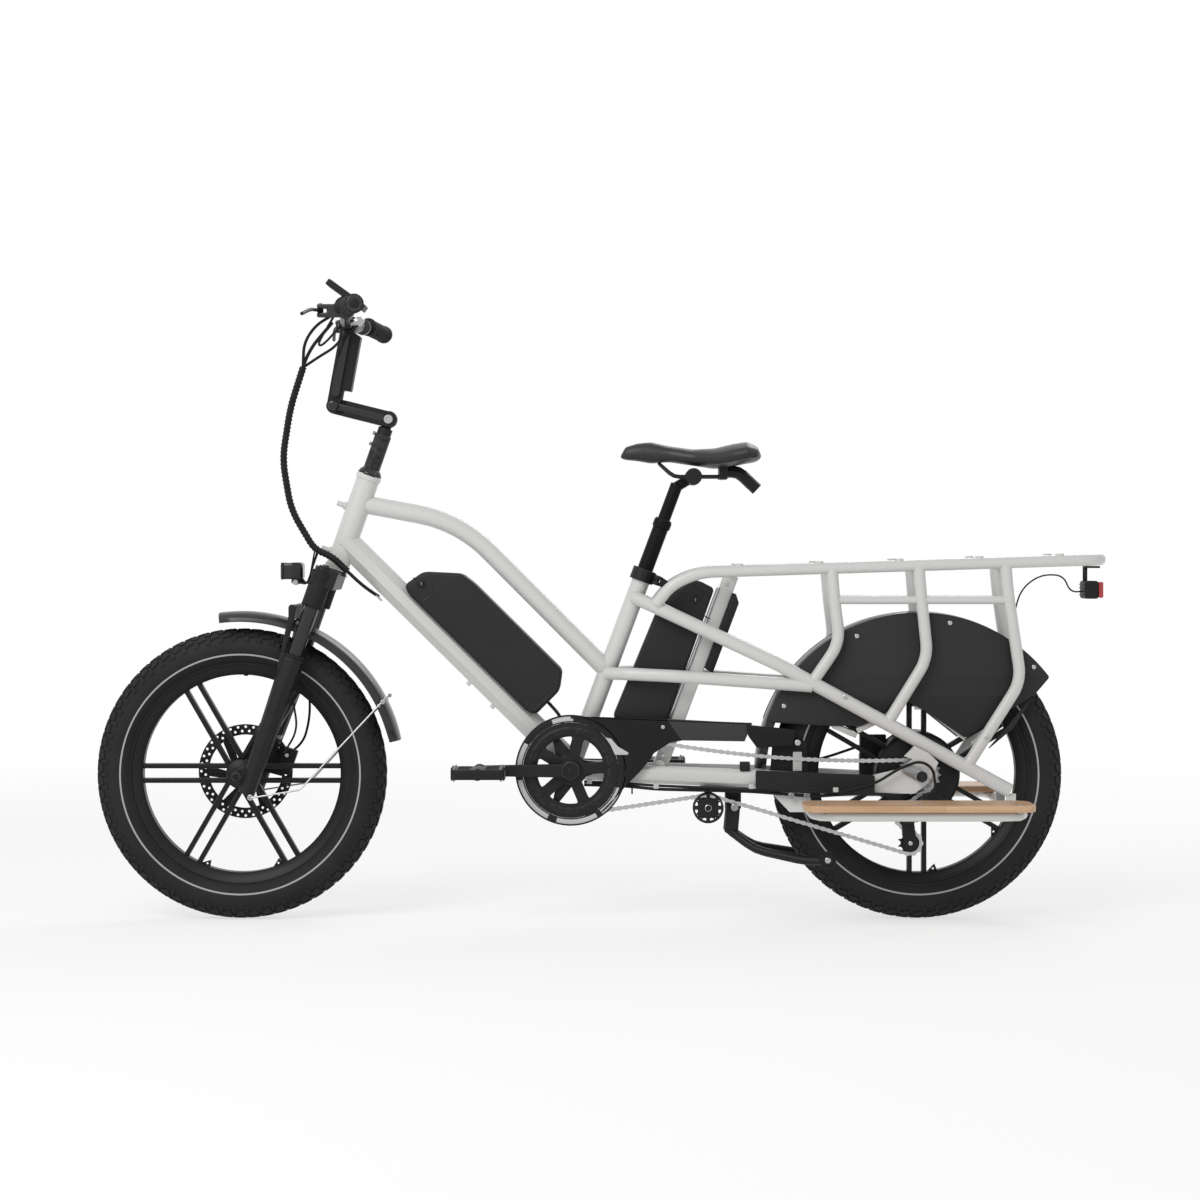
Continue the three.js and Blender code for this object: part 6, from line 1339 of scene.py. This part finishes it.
# %% Pedals: a platform with windows, a barrel on the axle, studs and reflectors
pedal_width = 92
for sign, label in BOTH_SIDES:
    node = "pedal_" + label
    body = body_of_node[node]
    low, high = box_mm(node)
    far = max(abs(low.y), abs(high.y))
    ends = sorted((sign * (far - pedal_width), sign * far))
    mid_x, mid_y, mid_z = (low.x + high.x) / 2, sum(ends) / 2, (low.z + high.z) / 2

    def on_pedal(corners):
        return [(mid_x + x, -mid_y + y) for x, y in corners]

    window = ((14, 5), (38, 5), (38, 35), (14, 35))
    platform = [soft_loop(on_pedal(((-49.6, -46), (49.6, -46), (49.6, 46), (-49.6, 46))), 13, 8)]
    platform += [soft_loop(on_pedal([(side_x * x, side_y * y) for x, y in window]), 7, 6)
                 for side_x in (-1, 1) for side_y in (-1, 1)]
    bm = from_above(platform, mid_z - 9.5, mid_z + 9.5, 2.2, 3)
    rod_into(bm, at(mid_x, ends[0] + 1, mid_z), at(mid_x, ends[1] - 1, mid_z), 11, None, 40, 1.5)
    inner_end = min(low.y, high.y, key=abs) + sign * 0.2
    rod_into(bm, at(mid_x, inner_end, mid_z), at(mid_x, mid_y, mid_z), 6)
    add_into(bm, blocks_mesh([((4, 60, 24), (mid_x + x, mid_y, mid_z), 1.6, 3) for x in (-47.6, 47.6)]))
    from_bmesh(node + "_platform", bm, body, black_cast, 40, (node,))
    studs = [way((mid_x + x, mid_y + y, mid_z - 12.6), (mid_x + x, mid_y + y, mid_z + 12.6)) + [1.7]
             for x in (-43, 43) for y in (-40, -14, 14, 40)]
    rods(node + "_studs", studs, body, steel, 8, 0.3)
    glints = [((1.4, 44, 11), (mid_x + x, mid_y, mid_z), 0.5, 2) for x in (-49.2, 49.2)]
    from_bmesh(node + "_reflectors", blocks_mesh(glints), body, lens_clear, 40)

# %% Chain guard: a rim with pale inlays, a dark bar, a smoky window and an end flap
plate("guard_rim", ring((104, 160), (101, 160)), -62, -59, "frame", black_plastic, 0.6, ("chain_guard",), 2)
plate("guard_rim_inner", ring((92, 160), (89.8, 160)), -62, -59, "frame", black_plastic, 0.6, (), 2)
pale_turns = ((87, 111), (149, 176), (191, 244), (254, 300), (306, 340))
pale, dark = bmesh.new(), bmesh.new()


def rim_piece(start, end):
    return [arc(bx, bz, 101.3, start, end) + arc(bx, bz, 91.7, end, start)]


for (start, end), (gap_end, _) in zip(pale_turns, pale_turns[1:] + ((pale_turns[0][0] + 360, 0),)):
    add_into(pale, plate_mesh(rim_piece(start, end), -61, -59.4, 0.3))
    add_into(dark, plate_mesh(rim_piece(end, gap_end), -61.8, -59.2, 0.4))
patch = ((9.4, 347), (21.4, 344), (33.5, 329.6), (53.6, 318), (52.9, 314), (28, 314), (20, 332))
add_into(pale, plate_mesh([soft_loop(patch, 2)], -62.6, -61.9, 0.3))
from_bmesh("guard_inlays", pale, "frame", pale_plastic, 40)
from_bmesh("guard_bridges", dark, "frame", black_plastic, 40)

bar_foot = [(153.2, 340.4), (131.3, 336.7), (112.5, 324.3), (101.3, 316.8), (93.8, 305.5), (75, 282.4),
            (53.1, 260.6), (28.1, 232.5), (3.1, 207.4)]
bar = [(bx, 386), (125, 381.5)] + bar_foot + arc(bx, bz, 97, -53, 90)
flap = soft_loop([(275, 370), (367, 361), (361, 331), (294, 327), (277, 350)], 3)
column = soft_loop([(318, 262), (392, 262), (388, 340), (324, 340)], 4)
tab = soft_loop([(362, 283), (379, 283), (379, 319), (362, 319)], 2)
for name, loop, y0, y1, paint, edge, rounds in (
        ("guard_bar", bar, -62, -59, guard_black, 0.9, 3),
        ("guard_window", [(124, 381.4), (285, 373), (271, 339), (152.4, 340.8)],
         -61.6, -59.6, smoky, 0.5, 1),
        ("guard_lip", [(bx + 40, 384.8), (285, 373.2), (285, 370.6), (bx + 40, 382.2)],
         -62, -47, guard_black, 0.6, 1),
        ("guard_flap", flap, -66, -63, guard_black, 0.9, 3),
        ("guard_flap_lip", [(276, 370), (367, 361), (367, 358.6), (276, 367.6)],
         -65.5, -52, guard_black, 0.6, 1),
        ("guard_column", column, -50.4, -47, guard_black, 0.9, 3),
        ("guard_tab", tab, -54, -50.4, pale_plastic, 0.7, 2)):
    plate(name, [loop], y0, y1, "frame", paint, edge, (), rounds)
side_bolts("guard_bolts", [(370, 66, 337, 5.5, 2.6), (118, 62, 366, 3.6, 1.4)], "frame", signs=(-1,))

# %% Sprockets, tensioner wheels and idler
teeth_of = (19, 17, 16, 15, 14, 13, 12)
for i, teeth in enumerate(teeth_of):
    y = -44 - 2.7 * i
    pitch_radius = half_inch / (2 * sin(pi / teeth))
    loops = [gear(rx, rz, pitch_radius, teeth, 4.4, i * 0.13), circle(rx, rz, 14, 32)]
    plate(f"sprocket_{i + 1}", loops, y - 0.9, y + 0.9, "sprockets", steel, 0.25, () if i else ("cassette",))
turned("sprocket_core", [(12, -61), (16.5, -61), (18, -60), (18, -43.4), (12, -43.4)],
       rear_axle, "sprockets", steel, 48)
for label, (x, z), phase in (("high", jockeys[0], 0.2), ("low", jockeys[1], 0.0)):
    loops = [gear(x, z, 20.4, 11, 5, phase), circle(x, z, 4, 20)]
    loops += [circle(*hole, 3.4, 12) for hole in circle(x, z, 11, 5)]
    plate(f"jockey_{label}", loops, -53, -51, "frame", black_plastic, 0.4)
cage = [capsule(*jockeys, 9.5), capsule((577.6, 184), (580.4, 160), 3.6)]
for label, y in (("outer", -58), ("inner", -47.6)):
    plate(f"cage_{label}", cage, y - 0.8, y + 0.8, "frame", black_coat, 0.4)
side_bolts("jockey_bolts", [(x, 58.8, z, 4, 2) for x, z in jockeys], "frame", signs=(-1,))
plate("idler_teeth", [gear(ix, iz, 22.8, 12, 5), circle(ix, iz, 7, 24)],
      -53.4, -50.6, "idler", black_plastic, 0.4, ("idler_pulley",))
slots = []
for turn in range(0, 360, 45):
    slot = arc(ix, iz, 25, turn + 8, turn + 37, 6) + arc(ix, iz, 18.5, turn + 35, turn + 10, 5)
    slots.append(soft_loop(slot, 1.5, 3))
for label, y in (("outer", -57.8), ("inner", -48.2)):
    side = [circle(ix, iz, 29, 72), circle(ix, iz, 6.5, 24)] + slots
    plate(f"idler_side_{label}", side, y, y + 2, "idler", black_plastic, 0.5, (), 2)
turned("idler_core", [(6.5, -57), (11, -57), (12, -56), (12, -48), (11, -47), (6.5, -47)],
       idler, "idler", black_plastic, 40)
side_bolts("idler_bolt", [(ix, 58, iz, 6.5, 2.6)], "frame", signs=(-1,))
print("sprockets:", len(teeth_of), "idler slots:", len(slots))

# %% [markdown]
# ## Footboards
# Each board is a bamboo plank with rounded ends, bolted onto a white tube loop. The plank is cut
# from sheet lying down, so its long fibres run along the bike.

# %% Footboards
board_low, board_high = 225, 237
board_start, board_end, board_inside, board_outside = 369, 787, 152, 270
holes = [(x, y) for x in (401, 578, 755) for y in (170, 252)]
for sign, label in BOTH_SIDES:
    y0, y1 = -sign * board_inside, -sign * board_outside
    outline = soft_loop([(board_start, y0), (board_end, y0), (board_end, y1), (board_start, y1)], 34, 10)
    bm = from_above([outline], board_low, board_high, 2.2, 3)
    from_bmesh(f"board_{label}", bm, "frame", bamboo, 40, (f"footboard_{label}",))
    for kind, z, up, height, paint in (
            ("bolts", board_high - 0.4, 1, 1.2, bolt_silver), ("nuts", board_low + 0.4, -1, 4, steel)):
        rows = [(at(x, sign * y, z), (0, 0, up), 4.4, height) for x, y in holes]
        bolts(f"board_{kind}_{label}", rows, "frame", paint)
    rows = [(x, 84.6, 240, 5.6, 3.4) for x in (356.6, 385.5)]
    side_bolts(f"loop_bolts_{label}", rows, "frame", steel, (sign,))

# %% [markdown]
# ## Cockpit
# The grips are ribbed rubber with black end plugs. The display has a glass over its case, and
# bolts and glossy panels show how the folding stem is put together.

# %% Grips
rib_count, rib_start, rib_step, rib_width = 28, 0.04, 0.0295, 0.017
for sign, label in BOTH_SIDES:
    a, b = way((-458.5, sign * 215, 1139.8), (-435.5, sign * 330, 1133.8))

    def along(start, end, radius):
        return a.lerp(b, start), a.lerp(b, end), radius

    starts = [rib_start + rib_step * k for k in range(rib_count)]
    rods(f"grip_ribs_{label}", [along(s, s + rib_width, 16.6) for s in starts], "bar", soft_rubber, 32, 0.5)
    rods(f"grip_ends_{label}", [along(-0.03, 0.03, 18), along(0.88, 0.985, 17.6)],
         "bar", soft_rubber, 40, 2.4)
    rods(f"grip_plug_{label}", [along(0.975, 1.012, 9)], "bar", black_plastic, 40, 1.6)
    y = sign * 168
    bolts(f"lever_bolts_{label}", [
        (at(-512.5, y, 1147.4), (0, 0, 1), 3.6, 2), (at(-465.5, y, 1151.6), (0, 0, 1), 3, 2)], "bar", steel)
block("thumb_switch", (24, 26, 16), (-473, -190, 1140), "bar", black_plastic, 4, 4)
keys = [((6, 5, 2.4), (-473, -190 + 7.5 * k, 1148.6), 1, 3) for k in (-1, 0, 1)]
from_bmesh("thumb_keys", blocks_mesh(keys), "bar", pale_plastic, 40)

# %% Display and bell
display_lean = 36
block("display_bezel", (82, 60, 4.4), (-479.8, 0, 1184.6), "bar", black_plastic, 2, 3, display_lean)
block("display_glass", (76, 54, 1.6), (-478.6, 0, 1186.3), "bar", screen_black, 0.7, 3, display_lean)
side_bolts("display_bolts", [(-470, 33, 1140, 3.4, 2)], "bar", steel)
rods("bell_dome", [(*way((-452, -74, 1118), (-456, -74, 1131)), 15)], "bar", bolt_silver, 48, 7)
rods("bell_base", [(*way((-472, -74, 1123), (-452, -74, 1119)), 6)], "bar", black_plastic, 32, 1)

# %% Folding stem
arm_panels = (
    ("arm_panel", ((-415, 949), (-492, 968), 6.5), 14.6, 15.5, "stem_lower_arm"),
    ("upper_panel", ((-499.8, 995.9), (-480.1, 1104.1), 8), 22.4, 23.4, "stem_upper_arm"))
for sign, label in BOTH_SIDES:
    for name, shape, inside, outside, body in arm_panels:
        y0, y1 = sorted((sign * inside, sign * outside))
        plate(f"{name}_{label}", [capsule(*shape)], y0, y1, body, gloss_black, 0.4, (), 2)
side_bolts("stem_pivot_low", [(-400.42, 15, 945.37, 8.5, 2.4)], "stem_lower_arm")
pin = way((-504.24, -24.4, 971.26), (-504.24, 24.4, 971.26))
rods("stem_pivot_high", [(*pin, 9)], "stem_upper_arm", gloss_black, 32, 1.4)
sleeve("post_sleeve", steer(194), steer(270), 13, 15.6, "steering", black_cast)
bolts("stem_pins", [
    (steer(s, 15.8, y), (-0.944, 0, 0.33), 3.4, 4) for s in (268, 247) for y in (-3, 3)], "steering", steel)
bolts("bar_clamp_bolts", [(at(-494, y, 1123.8), (-1, 0, 0), 2.6, 1.6) for y in (-13, 13)],
      "stem_upper_arm", steel)

# %% Cable bundle in its spiral wrap
# The bundle runs from the bar to the down tube past four joints. It's cut into one stretch for each,
# and each stretch is one fixed piece that is handed the two bodies of its joint.
bundle = way(
    (-492.5, -150, 1115.8), (-538.5, -132, 1065.8), (-576.5, -92, 963.8), (-594.5, -66, 867.8),
    (-580.5, -50, 773.8), (-536.5, -46, 698.8), (-504, -46, 686), (-474, -47, 657),
    (-446, -33, 629.5), (-419, -10, 609.77))
bundle_path, bundle_length = evenly(bent(bundle, 30 * MM, 6), 150)
wrap_radius, wrap_pitch, lead_radius, steps_in_turn = 6.0, 7.5, 3.2, 10


def nearest(place):
    return min(range(len(bundle_path)), key=lambda i: (bundle_path[i] - place).length)


wrap_top, stem_knee, crown_pass, wrap_foot = (
    nearest(place) for place in (at(-550, -122, 1035), bundle[2], bundle[6], bundle[7]))
top, knee, split, crossing_foot, foot = (bundle_path[i] for i in (0, stem_knee, wrap_top, crown_pass, -1))
over_bar = ("stem_upper_arm", "bar", split, top)
over_upper = ("stem_lower_arm", "stem_upper_arm", knee, split)
over_lower = ("steering", "stem_lower_arm", crossing_foot, knee)
over_head = ("frame", "steering", foot, crossing_foot)


def wrapped(label, points, joint, stands_for=()):
    """A stretch of the bundle, with a whole number of turns of the wrap round it."""
    tube("bundle_core_" + label, points, wrap_radius, joint, soft_rubber, 0, 16, stands_for)
    turns = round(evenly(points, 2)[1] / MM / wrap_pitch)
    path, _ = evenly(points, turns * steps_in_turn)
    ahead = [(b - a).normalized() for a, b in zip(path, path[1:])]
    spiral = []
    for i, (place, run) in enumerate(zip(path, ahead + ahead[-1:])):
        side = run.cross(Vector((0, 1, 0))).normalized()
        turn = 2 * pi * i / steps_in_turn
        spiral.append(place + (side * cos(turn) + run.cross(side) * sin(turn)) * wrap_radius * MM)
    tube("bundle_wrap_" + label, spiral, 1.3, joint, black_plastic, 0, 6)
    return turns


wrap_turns = wrapped("high", bundle_path[wrap_top:stem_knee + 1], over_upper)
wrap_turns += wrapped("middle", bundle_path[stem_knee:crown_pass + 1], over_lower)
wrap_turns += wrapped("low", bundle_path[crown_pass:wrap_foot + 1], over_head, ("cable_bundle",))
tube("bundle_lead_low", bundle_path[wrap_foot:], lead_radius, over_head, soft_rubber, 0, 12)
tube("bundle_lead_high", bundle_path[:wrap_top + 2], lead_radius, over_bar, soft_rubber, 0, 12)
tube("bundle_strand", way((-488, -160, 1130), (-522, -152, 1112), (-546, -140, 1080)) + [split],
     2.8, over_bar, soft_rubber, 40, 12)
tube("bundle_strand_short", way((-478, -44, 1106), (-497, -60, 1078), (-524, -98, 1056)) + [split],
     2.6, over_bar, soft_rubber, 26, 10)
tube("bundle_strand_low", way((-486, -164, 1130), (-524, -118, 1078), (-520, -60, 1080), (-490, -30, 1120)),
     2.2, "bar", soft_rubber, 30, 10)
print("bundle", round(bundle_length / MM), "mm, wrap turns", wrap_turns)

# %% [markdown]
# ## Fittings on the frame
# Bolts, clips and cables make a bike look assembled. Each row is one object with many small
# copies, and the cables are tubes along the routes seen in the photograph.

# %% Bolts, lugs and the lead's clip
side_bolts("frame_bolts", [
    (482, 53.4, 536, 4.2, 2), (656.8, 53.4, 560.8, 4.2, 2), (814, 53.4, 478, 4.2, 2),
    (345, 53.4, 405, 4.2, 2), (457.4, 79, 423.2, 4.2, 1.8), (722.5, 79, 348.5, 4.2, 1.8)], "frame")
under = Vector((-0.7035, 0, -0.711)) * MM
lugs = [(place - under * 11, place + under * 2, 4.4) for place in way((-250, 0, 443.8), (-204.9, 0, 400))]
rods("tube_lugs", lugs, "frame", white_paint, 24, 1)
block("lead_clip", (30, 18, 3), (-424, -8, 612.2), "frame", pale_plastic, 1, 2, 44.7)

# %% Pale edge strips and tabs of the skirts
edges_seen = (
    (622.5, 394.7, 686.8, 343.6), (437, 368, 482, 349), (482.8, 357.7, 525.9, 379), (700, 332, 722, 352))
rows = []
for sign in (-1, 1):
    for x0, z0, x1, z1 in edges_seen:
        lean = -atan2(z1 - z0, x1 - x0) * 180 / pi
        size, spot = (hypot(x1 - x0, z1 - z0), 2.2, 10), ((x0 + x1) / 2, sign * 49, (z0 + z1) / 2)
        rows.append((size, spot, 0.8, 2, lean))
    rows.append(((15, 2.2, 12), (598, sign * 49, 404), 0.8, 2))
    rows.append(((13, 2.2, 14), (826, sign * 50, 452), 0.8, 2, 35))
from_bmesh("pale_strips", blocks_mesh(rows), "frame", pale_plastic, 40)
slab = soft_loop([(290, 287), (512, 278), (512, 239), (290, 252)], 4)
plate("chainstay_guard", [slab], -89, -84, "frame", black_plastic, 1.4, (), 3)

# %% Clips, ties and rear cables
clip_places = ((105, -72, 256), (282, -86, 257), (439, -90, 251), (-20, -40, 262))
clips = [((10, 8, 9), place, 1.4, 2) for place in clip_places]
from_bmesh("cable_clips", blocks_mesh(clips), "frame", pale_plastic, 40)
ties = [(*way((x, y, 252), (x, y, 241)), 1.6) for x, y in ((60, -66), (208, -80), (470, -90))]
rods("cable_ties", ties, "frame", black_plastic, 10, 0.4, 40)
block("stay_magnet", (19, 14, 17), (271, -66, 293), "frame", black_plastic, 1.6, 3)
rear_cables = (
    ("shift_cable", 2.6, 22, 12, (
        (-30, -40, 262), (44, -41, 259), (105, -70, 257), (282, -84, 251), (439, -90, 245), (512, -92, 262),
        (559, -92, 292), (596, -92, 305), (620, -92, 292), (626, -92, 251), (605, -88, 238))),
    ("motor_lead", 3, 22, 12, (
        (-30, -38, 256), (44, -40, 254), (105, -66, 250), (282, -80, 247), (400, -84, 238), (480, -86, 244),
        (560, -80, 240))),
    ("brake_hose", 2.6, 22, 12, (
        (-30, 46, 262), (200, 70, 262), (360, 84, 280), (440, 80, 300), (500, 66, 322))),
    ("lamp_lead", 1.5, 26, 10, (
        (772, -56, 560), (790, -52, 625), (830, -40, 652), (874, -30, 650), (888, -22, 618),
        (918, -8, 620))))
for name, radius, bend, sides, corners in rear_cables:
    tube(name, way(*corners), radius, "frame", soft_rubber, bend, sides)
turned("axle_cap_left", [(0, -90), (9, -90), (10.5, -88.6), (10.5, -82), (0, -82)],
       rear_axle, "frame", black_coat, 40, closed=False)
plate("axle_washer", [capsule((rx, rz), (rx - 26, rz + 14), 11)], -84, -81.6, "frame", steel, 0.6)

# %% Kickstand, seat clamp and post
foot_x, foot_z = 424, 120
side_bolts("stand_foot_bolts", [(foot_x, 95, foot_z, 5.5, 2.2)], "stand")
for sign, label in BOTH_SIDES:
    rings = [(radius, sign * y) for radius, y in ((15.5, 84), (15.5, 93.5), (14, 95), (9, 95), (9, 84))]
    turned(f"stand_foot_{label}", rings, at(foot_x, 0, foot_z), "stand", soft_rubber, 40)
side_bolts("stand_pins", [(252, 66, 216, 7, 2.2)], "frame", steel)
sleeve("tube_lip", seat(376), seat(394.3), 16.6, 18, "frame", white_paint)
sleeve("post_wiper", seat(499.5), seat(503), 12.2, 15.8, "post_outer", soft_rubber)
side_bolts("saddle_bolts", [(178, 22, 838, 6, 2.6)], body_of_node["saddle_rails"], steel)
